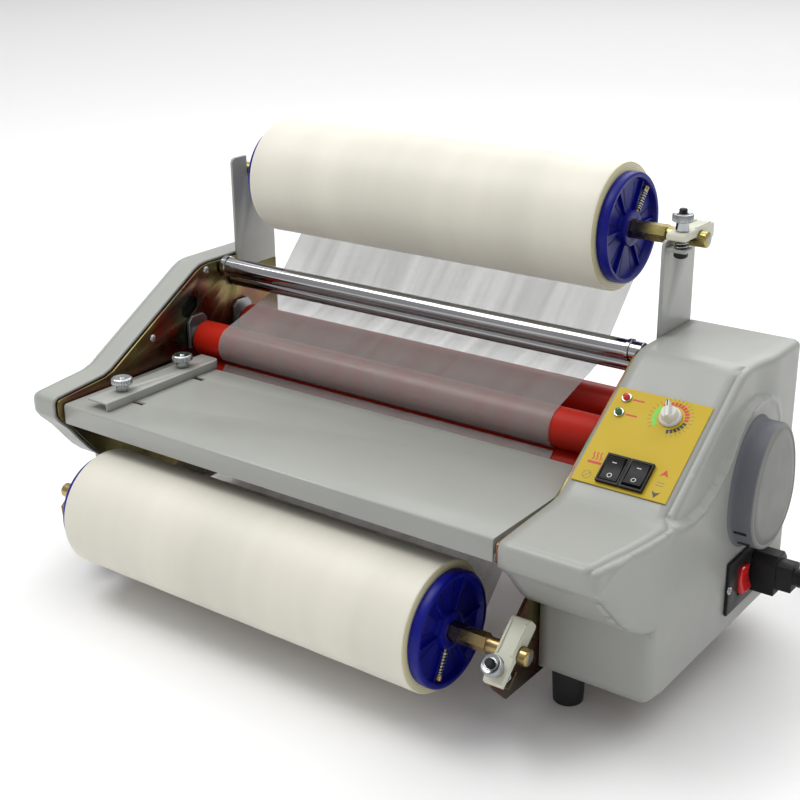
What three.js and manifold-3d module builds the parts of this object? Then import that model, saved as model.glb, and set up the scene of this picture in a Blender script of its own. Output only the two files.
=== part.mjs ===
// Desktop roll laminator with two film rolls, four silicone rollers and a motor drive.
// Millimetres. x runs from left to right, -y is the operator's side and +z is up.
// The machine is laid out on its own datum: x = 0 at the left end of the film, y = 0 at the
// top film roll's axis and z = 0 on the floor. The last group moves it so that the origin
// is the bottom centre of the machine without its mains lead.
import * as THREE from "three";
import { mergeVertices } from "three/addons/utils/BufferGeometryUtils.js";
import Module from "manifold-3d";

const wasm = await Module();
wasm.setup();

// ---------------------------------------------------------------- driving dimensions
const GAP = 0.3; // between touching pieces
const SHEET = 2.5; // steel side plates and brackets
const WALL = 2.2; // moulded covers
const CENTRE_X = 198.5;
const CENTRE_Y = -112.5;

const FILM_LENGTH = 320;
const CORE_RADIUS = 38.1; // 3 inch core
const TOP_ROLL = { name: "top", y: 0, z: 290, radius: 47, brakeTurn: 0 };
const BOTTOM_ROLL = { name: "bottom", y: -226, z: 68, radius: 46, brakeTurn: 42 };
const HUB = { flange: 40.5, rim: 4.5, width: 8, spigot: 37.6, spigotLength: 22, boss: 13 };
const HEX_ACROSS_FLATS = 12;
const JOURNAL_RADIUS = 5.8;
const ROLL_SHAFT = { hexFrom: -32, hexTo: 356, from: -52, to: 387 };

const LEFT_PLATE = { from: -42.5, to: -40 };
const RIGHT_PLATE = { from: 363, to: 365.5 };
const LEFT_SIDE = -70;
const RIGHT_SIDE = 450;
const BACK = 28;
const COVER_BOTTOM = 32;
const PLATEAU = 222;

const ROLLER_RADIUS = 14.7;
const ROLLER_CORE = 11;
const ROLLER_BORE = 3.5; // through each shaft, for its heater rod
const ROLLER_JOURNAL = 6;
const ROLLER = { from: -29, to: 352, lowerZ: 131, upperZ: 161, frontY: -80, rearY: -23.87 };
const NIP_LIFT = 2; // travel of the sprung upper rollers
const GEAR_MODULE = 1.5;
const GEAR_TEETH = 20;
const DRIVE_TEETH = 18;
const GEAR_X = { from: 378, to: 386 };
const FRAME_X = { left: [-54.5, -45.5], right: [366.5, 375.5] };

const UPPER_BAR = { y: -40, z: 213.7, radius: 7.3 };
const LOWER_BAR = { y: -29.5, z: 200.2, radius: 6.5 };
const BAR_JOURNAL = 4;

const TABLE = { from: -37.5, to: 360.5, front: -230, rear: -103.5, top: 146, sheet: 1.5, lip: 16 };
const GUIDE = { from: -18, to: 3.5, front: -222, rear: -97, height: 7, sheet: 1.6, slide: 20 };
const GUIDE_SCREW_X = -9;
const GUIDE_SCREW_Y = [-194, -128];

const BRACKET = { front: -24, rear: 25.4, seam: 206, leftTop: 303, rightTop: 291 };
// Places up the slope are measured from its foot.
const PANEL = { from: 368, to: 436.5, low: 7.3, high: 85.2, sheet: 1 };
const KNOB = { x: 412.2, up: 70.2, turned: 20 };
const LAMPS = { red: [376.8, 77.3], green: [376.7, 64.8] };
const SWITCHES = { x: [393.4, 410.7], up: 20.9, width: 16, length: 22.3 };
const BOSS = { y: -43, z: 131, radius: 36.5, top: 54, to: 467 };
const FOOT = { top: 12, bottom: 10.5, height: 31.7 };

const CORD_RADIUS = 3.5;
const INLET = { y: -41, z: 69, width: 68, height: 40, rockerY: -52 };
const CONNECTOR = { y: -29, bootEnd: 512 };
const COIL = { x: 577.4, y: 41.5, inner: 29.1, outer: 51.1, height: 14.8 };
const PLUG = { bootFrom: 549.5, y: 88.9, z: 11.1 };
const CORD_ROUTE = [
  [512.3, -29, 69], [518, -29, 69], [526.3, -29, 67.9], [534, -29, 64.7], [540.6, -29, 59.6], [545.7, -29, 53],
  [548.9, -29, 45.3], [550, -29, 37], [550, -29, 35.8], [550.9, -28.5, 27.5], [553.7, -26.9, 19.8],
  [558.1, -24.3, 13.2], [563.9, -21, 8.1], [570.5, -17.2, 4.9], [577.7, -13, 3.8],
];

// ---------------------------------------------------------------- colours and finishes
const finish = (color, roughness, metalness) =>
  new THREE.MeshStandardMaterial({ color, roughness, metalness });
const PAINT = finish(0xacaea8, 0.5, 0);
const ZINC = finish(0x8b8456, 0.35, 0.9);
const STEEL = finish(0xb9bcbf, 0.3, 1);
const CHROME = finish(0xe4e6e8, 0.08, 1);
const SILICONE = finish(0xb02a14, 0.45, 0);
const FILM = finish(0xe9e6da, 0.25, 0);
const BLUE = finish(0x1524a8, 0.35, 0);
const NYLON = finish(0xd9d9c8, 0.5, 0);
const BLACK = finish(0x17181a, 0.5, 0);
const RUBBER = finish(0x101011, 0.8, 0);
const YELLOW = finish(0xd9bd3a, 0.45, 0);
const GREY_KNOB = finish(0xc9cac6, 0.4, 0);
const RED_LENS = finish(0xd01a1a, 0.2, 0);
const GREEN_LENS = finish(0x1f7a3a, 0.2, 0);
const BOARD = finish(0x1c6a3c, 0.6, 0);

// ---------------------------------------------------------------- geometry helpers
function toSolid(geometry) {
  const bare = geometry.index ? geometry.toNonIndexed() : geometry.clone();
  bare.deleteAttribute("normal");
  bare.deleteAttribute("uv");
  const merged = mergeVertices(bare, 1e-4);
  return new wasm.Manifold(
    new wasm.Mesh({
      numProp: 3,
      vertProperties: merged.attributes.position.array,
      triVerts: new Uint32Array(merged.index.array),
    }),
  );
}

function toGeometry(solid) {
  const mesh = solid.getMesh();
  const geometry = new THREE.BufferGeometry();
  geometry.setAttribute("position", new THREE.BufferAttribute(mesh.vertProperties, 3));
  geometry.setIndex(new THREE.BufferAttribute(mesh.triVerts, 1));
  return geometry;
}

function join(...geometries) {
  return toGeometry(geometries.map(toSolid).reduce((sum, next) => sum.add(next)));
}

function cut(body, ...tools) {
  return toGeometry(tools.map(toSolid).reduce((left, tool) => left.subtract(tool), toSolid(body)));
}

function common(a, b) {
  return toGeometry(toSolid(a).intersect(toSolid(b)));
}

const outline = (points) => new THREE.Shape(points.map(([u, v]) => new THREE.Vector2(u, v)));

// A (y, z) outline swept from x = from to x = to.
function alongX(points, from, to) {
  const shape = points.isShape ? points : outline(points);
  const settings = { depth: to - from, bevelEnabled: false, curveSegments: 12 };
  const geometry = new THREE.ExtrudeGeometry(shape, settings);
  const turn = new THREE.Matrix4().makeBasis(
    new THREE.Vector3(0, 1, 0),
    new THREE.Vector3(0, 0, 1),
    new THREE.Vector3(1, 0, 0),
  );
  return geometry.applyMatrix4(turn).translate(from, 0, 0);
}

// An (x, y) outline swept from z = from to z = to.
function alongZ(points, from, to) {
  const settings = { depth: to - from, bevelEnabled: false, curveSegments: 12 };
  return new THREE.ExtrudeGeometry(outline(points), settings).translate(0, 0, from);
}

function box([x0, x1], [y0, y1], [z0, z1]) {
  return new THREE.BoxGeometry(x1 - x0, y1 - y0, z1 - z0).translate(
    (x0 + x1) / 2,
    (y0 + y1) / 2,
    (z0 + z1) / 2,
  );
}

// A round solid about the x axis from [x, radius] pairs that start and end on the axis.
function turnedX(profile, segments = 24) {
  const points = profile.map(([x, radius]) => new THREE.Vector2(radius, -x)).reverse();
  return new THREE.LatheGeometry(points, segments).rotateZ(Math.PI / 2);
}

// A round solid about the z axis from [z, radius] pairs.
function turnedZ(profile, segments = 24) {
  const points = profile.map(([z, radius]) => new THREE.Vector2(radius, z));
  return new THREE.LatheGeometry(points, segments).rotateX(Math.PI / 2);
}

const rodX = (radius, from, to, segments = 24) =>
  turnedX([[from, 0], [from, radius], [to, radius], [to, 0]], segments);
const rodZ = (radius, from, to, segments = 24) =>
  turnedZ([[from, 0], [from, radius], [to, radius], [to, 0]], segments);
const tubeX = (inner, outer, from, to, segments = 28) =>
  cut(rodX(outer, from, to, segments), rodX(inner, from - 1, to + 1, segments));

// Points of an arc in degrees, as [u, v] pairs.
function arc(u, v, radius, start, end, steps) {
  const points = [];
  for (let i = 0; i <= steps; i++) {
    const angle = THREE.MathUtils.degToRad(start + ((end - start) * i) / steps);
    points.push([u + radius * Math.cos(angle), v + radius * Math.sin(angle)]);
  }
  return points;
}

// An anticlockwise outline moved inwards by a distance, corner by corner.
function inset(points, distance) {
  return points.map((point, i) => {
    const before = points[(i + points.length - 1) % points.length];
    const after = points[(i + 1) % points.length];
    const a = new THREE.Vector2(point[0] - before[0], point[1] - before[1]).normalize();
    const b = new THREE.Vector2(after[0] - point[0], after[1] - point[1]).normalize();
    const normal = new THREE.Vector2(-a.y - b.y, a.x + b.x).normalize();
    const reach = distance / Math.max(0.4, normal.x * -a.y + normal.y * a.x);
    return [point[0] + normal.x * reach, point[1] + normal.y * reach];
  });
}

// A toothed wheel outline with trapezoid teeth: one tooth points along +u when phase is 0.
function gearOutline(teeth, phaseDegrees) {
  const pitch = (GEAR_MODULE * teeth) / 2;
  const tip = pitch + 0.8 * GEAR_MODULE;
  const root = pitch - 1.15 * GEAR_MODULE;
  const step = 360 / teeth;
  const corners = [[root, -0.27], [tip, -0.11], [tip, 0.11], [root, 0.27]];
  const points = [];
  for (let i = 0; i < teeth; i++) {
    for (const [radius, share] of corners) {
      const angle = THREE.MathUtils.degToRad(phaseDegrees + (i + share) * step);
      points.push([radius * Math.cos(angle), radius * Math.sin(angle)]);
    }
  }
  return points;
}

const machine = new THREE.Group();
function add(name, geometry, material, [x, y, z] = [0, 0, 0]) {
  const mesh = new THREE.Mesh(geometry, material);
  mesh.name = name;
  mesh.position.set(x, y, z);
  machine.add(mesh);
  return mesh;
}

// ---------------------------------------------------------------- covers and side plates
// The side outline in (y, z), anticlockwise from the bottom rear corner: the top of the
// operator's side is each cover's own, the undercut below the nose is shared.
function sideOutline(top) {
  return [
    [BACK, COVER_BOTTOM],
    ...arc(BACK - 6, PLATEAU - 6, 6, 0, 90, 3),
    ...top,
    [-223, 121],
    [-212, 107],
    [-205, 98.5],
    [-197, 91],
    [-189, 86.5],
    [-180, 83],
    [-180, COVER_BOTTOM],
  ];
}
const LEFT_TOP = [
  [-60, PLATEAU], [-68, 221], [-75, 218.2], [-170, 162], [-176, 158.6], [-184, 156], [-231, 151.6],
  [-234.5, 150], [-236, 147], [-236, 136], [-233, 131],
];
const SLOPE_HIGH = [-60, 219.2];
const SLOPE_LOW = [-154, 154];
const RIGHT_TOP = [
  [-46, PLATEAU], [-54, 221.3], SLOPE_HIGH, SLOPE_LOW, [-160, 150.8], [-168, 149.6], [-228.5, 146.6],
  [-231.8, 145], [-233, 142], [-233, 130], [-230, 127],
];

// The steel tongue below each nose that carries the lower film roll, anticlockwise in (y, z).
const TONGUE = [
  [-178, 90], [-194.5, 90], [-213, 74], [-222.3, 75.5], [-239.5, 60.5], [-238, 45], [-219, 26], [20, 26], [20, 60],
  [-178, 60],
];

function leftCover() {
  const profile = sideOutline(LEFT_TOP);
  const shell = alongX(profile, LEFT_SIDE, LEFT_PLATE.to);
  const room = alongX(inset(profile, WALL), LEFT_SIDE + WALL, LEFT_PLATE.to + 1);
  const underside = box([LEFT_SIDE + WALL, 0], [-180 + WALL, BACK - WALL], [COVER_BOTTOM - 1, 60]);
  const tongue = alongX(inset(TONGUE, -GAP), LEFT_PLATE.from - GAP, LEFT_PLATE.to + 1);
  add("left_cover", cut(shell, room, underside, tongue, bracketSlot(LEFT_PLATE.from, 0)), PAINT);
}

// The opening in a cover's top that a film-roll bracket comes through.
function bracketSlot(from, to) {
  return box([from - GAP, to], [BRACKET.front - GAP, BRACKET.rear + GAP], [PLATEAU - 10, PLATEAU + 10]);
}

function bossOutline(shrink) {
  const { y, z, radius, top } = BOSS;
  const low = arc(y, z, radius - shrink, 180, 360, 16);
  const high = [];
  for (let i = 1; i < 16; i++) {
    const angle = (Math.PI * i) / 16;
    const width = (radius - shrink) * Math.cos(angle);
    high.push([y + width, z + (top - shrink) * Math.sin(angle)]);
  }
  return [...low, ...high];
}

function rightCover() {
  const profile = sideOutline(RIGHT_TOP);
  const plan = (margin) => [
    [RIGHT_PLATE.from - 1, -300],
    [435 - margin, -300],
    [435 - margin, -234],
    [442 - margin, -205],
    [447 - margin, -185],
    [RIGHT_SIDE - margin, -165],
    [RIGHT_SIDE - margin, 60],
    [RIGHT_PLATE.from - 1, 60],
  ];
  const body = common(alongX(profile, RIGHT_PLATE.from, RIGHT_SIDE), alongZ(plan(0), 0, 300));
  const boss = alongX(bossOutline(0), RIGHT_SIDE - 1, BOSS.to);
  const room = common(
    alongX(inset(profile, WALL), RIGHT_PLATE.from - 1, RIGHT_SIDE),
    alongZ(plan(WALL), 0, 300),
  );
  const underside = box([RIGHT_PLATE.from - 1, 444], [-180 + WALL, BACK - WALL], [COVER_BOTTOM - 1, 60]);
  const bossRoom = alongX(bossOutline(WALL), RIGHT_SIDE - 10, BOSS.to - WALL);
  const inletHole = box([440, 460], [INLET.y - 28, INLET.y + 28], [INLET.z - 15, INLET.z + 15]);
  const tongue = alongX(inset(TONGUE, -GAP), RIGHT_PLATE.from - 1, RIGHT_PLATE.to + GAP);
  const slot = bracketSlot(RIGHT_PLATE.from - 1, RIGHT_PLATE.to + GAP);
  const openings = [switchOpening(), knobOpening(), ...lampOpenings(), slot, inletHole];
  add("right_cover", cut(join(body, boss), room, underside, bossRoom, tongue, ...openings), PAINT);
}

// The film-roll shaft's seat: a slot as wide as the journal, open along the given direction.
function shaftSeat(roll, from, to) {
  const reach = 14;
  const half = JOURNAL_RADIUS + GAP;
  const notch = [
    ...arc(0, 0, half, 180, 360, 10),
    [half, reach],
    [-half, reach],
  ];
  return alongX(notch, from, to)
    .rotateX(THREE.MathUtils.degToRad(roll.brakeTurn))
    .translate(0, roll.y, roll.z);
}

const boreX = (radius, y, z, from, to) => rodX(radius, from - 1, to + 1, 20).translate(0, y, z);

function sidePlate(name, plate, top, outward, extras) {
  const profile = inset(sideOutline(top), WALL + GAP);
  const body = join(alongX(profile, plate.from, plate.to), alongX(TONGUE, plate.from, plate.to));
  // Ledges bent outwards: one for each pressure spring, one below for the cover and the feet.
  const face = outward > 0 ? plate.from + 1 : plate.to - 1;
  const out = (reach) => [face, face + outward * reach].sort((a, b) => a - b);
  const springTab = box(out(12.5), [-65, -51], [203, 205.5]);
  const floor = box(out(outward > 0 ? 77 : 25.5), [-172, 19], [COVER_BOTTOM, COVER_BOTTOM + SHEET]);
  const notch = box([plate.from - 1, plate.to + 1], [BRACKET.front - GAP, 60], [BRACKET.seam, 260]);
  const tools = [notch, shaftSeat(BOTTOM_ROLL, plate.from - 1, plate.to + 1)];
  for (const y of [ROLLER.frontY, ROLLER.rearY]) {
    const half = ROLLER_JOURNAL + GAP;
    tools.push(boreX(half, y, ROLLER.lowerZ, plate.from, plate.to));
    const slot = [
      ...arc(y, ROLLER.upperZ, half, 180, 360, 8),
      ...arc(y, ROLLER.upperZ + NIP_LIFT, half, 0, 180, 8),
    ];
    tools.push(alongX(slot, plate.from - 1, plate.to + 1));
  }
  for (const bar of [UPPER_BAR, LOWER_BAR]) {
    tools.push(boreX(BAR_JOURNAL + GAP, bar.y, bar.z, plate.from, plate.to));
  }
  add(name, cut(join(body, springTab, floor, ...extras.posts), ...tools, ...extras.cuts), ZINC);
}

function sidePlates() {
  // A slanted slot at the operator's side of the left plate.
  const slot = [...arc(-88, 185.5, 7, 142, 322, 8), ...arc(-82.5, 189.5, 7, -38, 142, 8)];
  const leftSlot = alongX(slot, LEFT_PLATE.from - 1, LEFT_PLATE.to + 1);
  sidePlate("left_side_plate", LEFT_PLATE, LEFT_TOP, -1, { posts: [], cuts: [leftSlot] });
  const tab = brakeTab(BOTTOM_ROLL);
  sidePlate("right_side_plate", RIGHT_PLATE, RIGHT_TOP, 1, { posts: [tab.plate], cuts: [tab.hole] });
}

function rearPanel() {
  const from = LEFT_PLATE.to + GAP;
  const to = RIGHT_PLATE.from - GAP;
  const section = [[4, 40], [18, 40], [18, 112], [4, 112], [4, 110], [16, 110], [16, 42], [4, 42]];
  add("rear_cross_panel", alongX(section, from, to), PAINT);
}

function feet() {
  const places = {
    front_left: [-55.2, -158],
    front_right: [378.5, -160],
    rear_left: [-55.2, 4],
    rear_right: [378.5, 4],
  };
  const { bottom, top, height } = FOOT;
  const profile = [[0, 0], [0, bottom - 1], [1.5, bottom], [height, top], [height, 0]];
  for (const [name, [x, y]] of Object.entries(places)) {
    add("foot_" + name, turnedZ(profile, 14), RUBBER, [x, y, 0]);
  }
}

// ---------------------------------------------------------------- table and paper guide
function feedTable() {
  const { from, to, front, rear, top, sheet, lip } = TABLE;
  const low = top - lip;
  const bend = [[front + 2.2, top], ...arc(front + 2.2, top - 2.2, 2.2, 90, 180, 3)];
  const section = [
    [rear, top], ...bend, [front, low], [front + sheet, low], [front + sheet, top - sheet], [rear, top - sheet],
  ];
  const sides = [from, to - sheet].map((x) => box([x, x + sheet], [front + 1, rear], [top - 11, top - 0.5]));
  // Spacers that meet the steel side plates.
  const spacers = [];
  for (const y of [-206, -124]) {
    spacers.push(box([LEFT_PLATE.to + GAP, from + 1], [y - 5, y + 5], [top - 10, top - 4]));
    spacers.push(box([to - 1, RIGHT_PLATE.from - GAP], [y - 5, y + 5], [top - 10, top - 4]));
  }
  const slots = GUIDE_SCREW_Y.map((y) =>
    box([GUIDE_SCREW_X - 3, GUIDE_SCREW_X + GUIDE.slide + 3], [y - 2.5, y + 2.5], [top - 5, top + 5]),
  );
  add("feed_table", cut(join(alongX(section, from, to), ...sides, ...spacers), ...slots), PAINT);
}

function paperGuide() {
  const { from, to, front, rear, height, sheet } = GUIDE;
  const bottom = TABLE.top + GAP;
  const top = TABLE.top + height;
  const plan = [[from, front], [to, front], ...arc(to - 6, rear - 6, 6, 0, 90, 3), [from, rear]];
  const room = [
    [from - 1, front - 1], [to - sheet, front - 1], ...arc(to - 6, rear - 6, 6 - sheet, 0, 90, 3), [from - 1, rear - sheet],
  ];
  const holes = GUIDE_SCREW_Y.map((y) => rodZ(2.3, bottom - 1, top + 1, 16).translate(GUIDE_SCREW_X, y, 0));
  add("paper_guide", cut(alongZ(plan, bottom, top), alongZ(room, bottom - 1, top - sheet), ...holes), PAINT);
  const screw = [[-13, 0], [-13, 2], [GAP, 2], [GAP, 5.2], [5.2, 4.8], [5.6, 8.1], [9.6, 8.4], [10.6, 7.2], [11.2, 3.6], [11.2, 0]];
  GUIDE_SCREW_Y.forEach((y, i) => {
    add(["guide_screw_front", "guide_screw_rear"][i], turnedZ(screw, 14), STEEL, [GUIDE_SCREW_X, y, top]);
  });
}

// ---------------------------------------------------------------- rollers and drive
function rollers() {
  const { from, to, lowerZ, upperZ, frontY, rearY } = ROLLER;
  const places = {
    front_lower: [frontY, lowerZ],
    front_upper: [frontY, upperZ],
    rear_lower: [rearY, lowerZ],
    rear_upper: [rearY, upperZ],
  };
  const journal = ROLLER_JOURNAL;
  for (const [name, [y, z]] of Object.entries(places)) {
    add(name + "_sleeve", tubeX(ROLLER_CORE + GAP, ROLLER_RADIUS, from, to), SILICONE, [0, y, z]);
    const leftEnd = name.endsWith("upper") ? FRAME_X.left[0] + 1 : LEFT_PLATE.from - 1.5;
    const end = GEAR_X.to + 2.5;
    const core = turnedX([
      [leftEnd, 0], [leftEnd, journal], [from - 1.5, journal], [from - 1.5, 9], [from, 9], [from, ROLLER_CORE],
      [to, ROLLER_CORE], [to, 9], [to + 1.2, 9], [to + 1.2, journal], [end, journal], [end, 0],
    ], 14);
    const bore = rodX(ROLLER_BORE, leftEnd - 1, end + 1, 12);
    const gear = alongX(gearOutline(GEAR_TEETH, gearPhase(name)), GEAR_X.from, GEAR_X.to);
    add(name + "_shaft", cut(join(core, gear), bore), STEEL, [0, y, z]);
  }
}

// The drive gear sits below and between the two lower rollers' gears.
const DRIVE_Y = (ROLLER.frontY + ROLLER.rearY) / 2;
const DRIVE_REACH = (GEAR_MODULE * (GEAR_TEETH + DRIVE_TEETH)) / 2;
const DRIVE_DROP = Math.sqrt(DRIVE_REACH ** 2 - (DRIVE_Y - ROLLER.frontY) ** 2);
const DRIVE_Z = ROLLER.lowerZ - DRIVE_DROP;
const DRIVE_ANGLE = THREE.MathUtils.radToDeg(Math.asin(DRIVE_DROP / DRIVE_REACH));

// A lower gear has a tooth on the line to the drive gear. An upper gear has a gap where the
// lower gear below it has a tooth, mirrored across the nip.
function gearPhase(name) {
  const lower = name.startsWith("front") ? -DRIVE_ANGLE : 180 + DRIVE_ANGLE;
  return name.endsWith("lower") ? lower : 180 / GEAR_TEETH - lower;
}

function driveAndMotor() {
  const step = 360 / DRIVE_TEETH;
  const gear = alongX(gearOutline(DRIVE_TEETH, 180 - DRIVE_ANGLE + step / 2), GEAR_X.from, GEAR_X.to);
  const shaft = rodX(4, GEAR_X.from - 1, GEAR_X.to + 9, 16);
  add("drive_gear", join(gear, shaft), STEEL, [0, DRIVE_Y, DRIVE_Z]);
  const { y, z } = BOSS;
  const flange = [
    [-78, 94], [-8, 94], [-8, 140], [-34, 199], [-52, 199], [-78, 140],
  ];
  const posts = [[-71, 101], [-15, 101], [-43, 192]].map(([py, pz]) =>
    rodX(4, RIGHT_PLATE.to + GAP, GEAR_X.to + 5, 12).translate(0, py, pz),
  );
  const body = join(
    alongX(flange, GEAR_X.to + 4, GEAR_X.to + 7),
    rodX(33.5, GEAR_X.to + 6, 418, 32).translate(0, y, z),
    rodX(29, 417, 461, 32).translate(0, y, z),
    ...posts,
  );
  const bearing = rodX(4 + GAP, GEAR_X.to + 3, GEAR_X.to + 10, 16).translate(0, DRIVE_Y, DRIVE_Z);
  add("gear_motor", cut(body, bearing), STEEL);
}

// Sprung carriers of the two upper rollers, one behind each side plate.
function pressureFrames() {
  const { frontY, rearY, upperZ } = ROLLER;
  const rim = [
    ...arc(frontY, upperZ, 12.5, 140, 235, 5),
    ...arc(rearY, upperZ, 12.5, -55, 40, 5),
    [-46, 182],
    [-50, 185],
    [-66, 185],
    [-70, 182],
  ];
  for (const [side, [from, to]] of Object.entries(FRAME_X)) {
    const bores = [frontY, rearY].map((y) => boreX(ROLLER_JOURNAL + GAP, y, upperZ, from, to));
    add(side + "_pressure_frame", cut(alongX(rim, from, to), ...bores), STEEL);
    add(side + "_pressure_spring", spring(4, 0.9, 185 + GAP, 203 - GAP, 4), STEEL, [(from + to) / 2, -58, 0]);
  }
}

// A compression spring about z as one closed tube along a helix.
class Helix extends THREE.Curve {
  constructor(radius, from, to, turns) {
    super();
    Object.assign(this, { radius, from, to, turns });
  }
  getPoint(t, target = new THREE.Vector3()) {
    const angle = 2 * Math.PI * this.turns * t;
    const z = this.from + (this.to - this.from) * t;
    return target.set(this.radius * Math.cos(angle), this.radius * Math.sin(angle), z);
  }
}
function spring(radius, wire, from, to, turns) {
  const section = outline(arc(0, 0, wire, 0, 288, 4));
  const path = new Helix(radius, from + wire, to - wire, turns);
  return new THREE.ExtrudeGeometry(section, { steps: turns * 8, extrudePath: path, bevelEnabled: false });
}

// ---------------------------------------------------------------- guide bars and film rolls
function guideBars() {
  const start = LEFT_PLATE.from - 1;
  const from = LEFT_PLATE.to + 1;
  const to = RIGHT_PLATE.from - 1;
  const end = RIGHT_PLATE.to + 0.8;
  const big = UPPER_BAR.radius;
  const collar = big + 1.1;
  const upper = [
    [start, 0], [start, BAR_JOURNAL], [from, BAR_JOURNAL], [from, collar], [from + 5, collar], [from + 5, big],
    [350, big], [350, collar], [353, collar], [353, big], [to, big], [to, BAR_JOURNAL], [end, BAR_JOURNAL], [end, 0],
  ];
  const slim = LOWER_BAR.radius;
  const lower = [
    [start, 0], [start, BAR_JOURNAL], [from, BAR_JOURNAL], [from, slim], [to, slim], [to, BAR_JOURNAL],
    [end, BAR_JOURNAL], [end, 0],
  ];
  add("upper_guide_bar", turnedX(upper, 18), CHROME, [0, UPPER_BAR.y, UPPER_BAR.z]);
  add("lower_guide_bar", turnedX(lower, 18), CHROME, [0, LOWER_BAR.y, LOWER_BAR.z]);
}

const hexRod = (acrossFlats, from, to) => alongX(arc(0, 0, acrossFlats / Math.sqrt(3), 0, 300, 5), from, to);

// A film-roll hub: outward face in +x, spigot in -x.
function hub() {
  const { flange, rim, width, spigot, spigotLength, boss } = HUB;
  const body = join(rodX(flange, 0.2, width, 32), rodX(spigot, -spigotLength, 1, 32));
  const dish = cut(rodX(flange - rim, 3, width + 1, 32), rodX(boss, 2, width + 2, 16));
  const hollow = cut(rodX(spigot - 3, -spigotLength - 1, -1, 32), rodX(boss, -spigotLength - 2, 0, 16));
  const ribs = [];
  for (let i = 0; i < 6; i++) {
    ribs.push(box([2, width - 1], [boss - 2, flange - rim + 1], [-1, 1]).rotateX((i * Math.PI) / 3));
  }
  const hole = hexRod(HEX_ACROSS_FLATS + 2 * GAP, -spigotLength - 2, width + 2);
  return cut(join(cut(body, dish, hollow), ...ribs), hole);
}

function filmRoll(roll) {
  const { name, y, z, radius } = roll;
  add(name + "_film", tubeX(CORE_RADIUS, radius, 0, FILM_LENGTH, 40), FILM, [0, y, z]);
  add(name + "_hub_left", hub().rotateZ(Math.PI), BLUE, [-GAP, y, z]);
  add(name + "_hub_right", hub(), BLUE, [FILM_LENGTH + GAP, y, z]);
  const { hexFrom, hexTo, from, to } = ROLL_SHAFT;
  const round = [[from, 0], [from, 3.5], [from + 2, JOURNAL_RADIUS], [to - 1, JOURNAL_RADIUS], [to, 4], [to, 0]];
  add(name + "_roll_shaft", join(hexRod(HEX_ACROSS_FLATS, hexFrom, hexTo), turnedX(round, 20)), ZINC, [0, y, z]);
}

// Brackets for the top film roll: a blade in line with the side plate, lapped outside it.
function brackets() {
  const { front, rear, seam, leftTop, rightTop } = BRACKET;
  const blade = (plate, top) => {
    const round = 4;
    const edge = [
      [front, seam + GAP], [rear, seam + GAP], ...arc(rear - round, top - round, round, 0, 90, 2),
      ...arc(front + round, top - round, round, 90, 180, 2),
    ];
    return alongX(edge, plate.from, plate.to);
  };
  const lap = (from, to) => box([from, to], [front + 1, rear - 1], [seam - 20, seam + 9]);
  const leftLap = lap(LEFT_PLATE.from - GAP - SHEET, LEFT_PLATE.from - GAP);
  const leftStep = box([LEFT_PLATE.from - 1, LEFT_PLATE.to - 1], [front + 1, rear - 1], [seam + 1, seam + 9]);
  const left = join(blade(LEFT_PLATE, leftTop), leftLap, leftStep);
  add("left_roll_bracket", cut(left, shaftSeat(TOP_ROLL, LEFT_PLATE.from - 1, LEFT_PLATE.to + 1)), PAINT);
  const rightLap = lap(RIGHT_PLATE.to + GAP, RIGHT_PLATE.to + GAP + SHEET);
  const rightStep = box([RIGHT_PLATE.from + 1, RIGHT_PLATE.to + 1], [front + 1, rear - 1], [seam + 1, seam + 9]);
  const tab = brakeTab(TOP_ROLL);
  const right = join(blade(RIGHT_PLATE, rightTop), rightLap, rightStep, tab.plate);
  add("right_roll_bracket", cut(right, shaftSeat(TOP_ROLL, RIGHT_PLATE.from - 1, RIGHT_PLATE.to + 1), tab.hole), PAINT);
}

// ---------------------------------------------------------------- film brakes
// Heights are measured from the journal's axis, before the brake is turned about it.
const BRAKE = { x: 374, y: -16, from: 366.5, to: 380.5, front: -25, rear: 22, top: 8, screw: 3 };

// Turns a brake piece built above its journal, and takes it to its film roll.
function onJournal(roll, geometry) {
  return geometry.rotateX(THREE.MathUtils.degToRad(roll.brakeTurn)).translate(0, roll.y, roll.z);
}

function brakeTab(roll) {
  const plate = box([RIGHT_PLATE.to - 1, BRAKE.x + 6], [BRAKE.y - 6, BRAKE.y + 6], [-6.5, -4]);
  const hole = rodZ(BRAKE.screw + GAP, -9, -2, 16).translate(BRAKE.x, BRAKE.y, 0);
  return { plate: onJournal(roll, plate), hole: onJournal(roll, hole) };
}

// The clamp is a lever laid over the journal: the screw draws its front end down, a heel behind
// the journal holds its rear end.
function brake(roll) {
  const { from, to, x, y, front, rear, top, screw } = BRAKE;
  const lever = alongX([
    [front, 2.5], [-6.8, 2.5], ...arc(0, 0, JOURNAL_RADIUS + GAP, 165, 5, 10), [7, -3], [rear - 1.5, -3],
    [rear, -1.5], [rear, top - 2.5], [rear - 0.8, top - 0.8], [rear - 2.5, top], [front + 0.5, top], [front, top - 0.5],
  ], from, to);
  const bolt = join(
    rodZ(screw, -10, 24, 16),
    turnedZ([[-11, 0], [-11, 4], [-10, 5], [-6.5 - GAP, 5], [-6.5 - GAP, 0]], 16),
  ).translate(x, y, 0);
  add(roll.name + "_brake_clamp", onJournal(roll, join(lever, bolt)), NYLON);
  const coil = spring(4.4, 0.6, -4 + GAP, 2.5 - GAP, 3).translate(x, y, 0);
  add(roll.name + "_brake_spring", onJournal(roll, coil), STEEL);
  const nut = cut(
    turnedZ([[8 + GAP, 0], [8 + GAP, 4.6], [15, 4.2], [15, 7.2], [20, 7.4], [20.6, 6.6], [20.6, 0]], 20),
    rodZ(screw + GAP, 7, 22, 16),
  ).translate(x, y, 0);
  add(roll.name + "_brake_nut", onJournal(roll, nut), STEEL);
}

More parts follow.
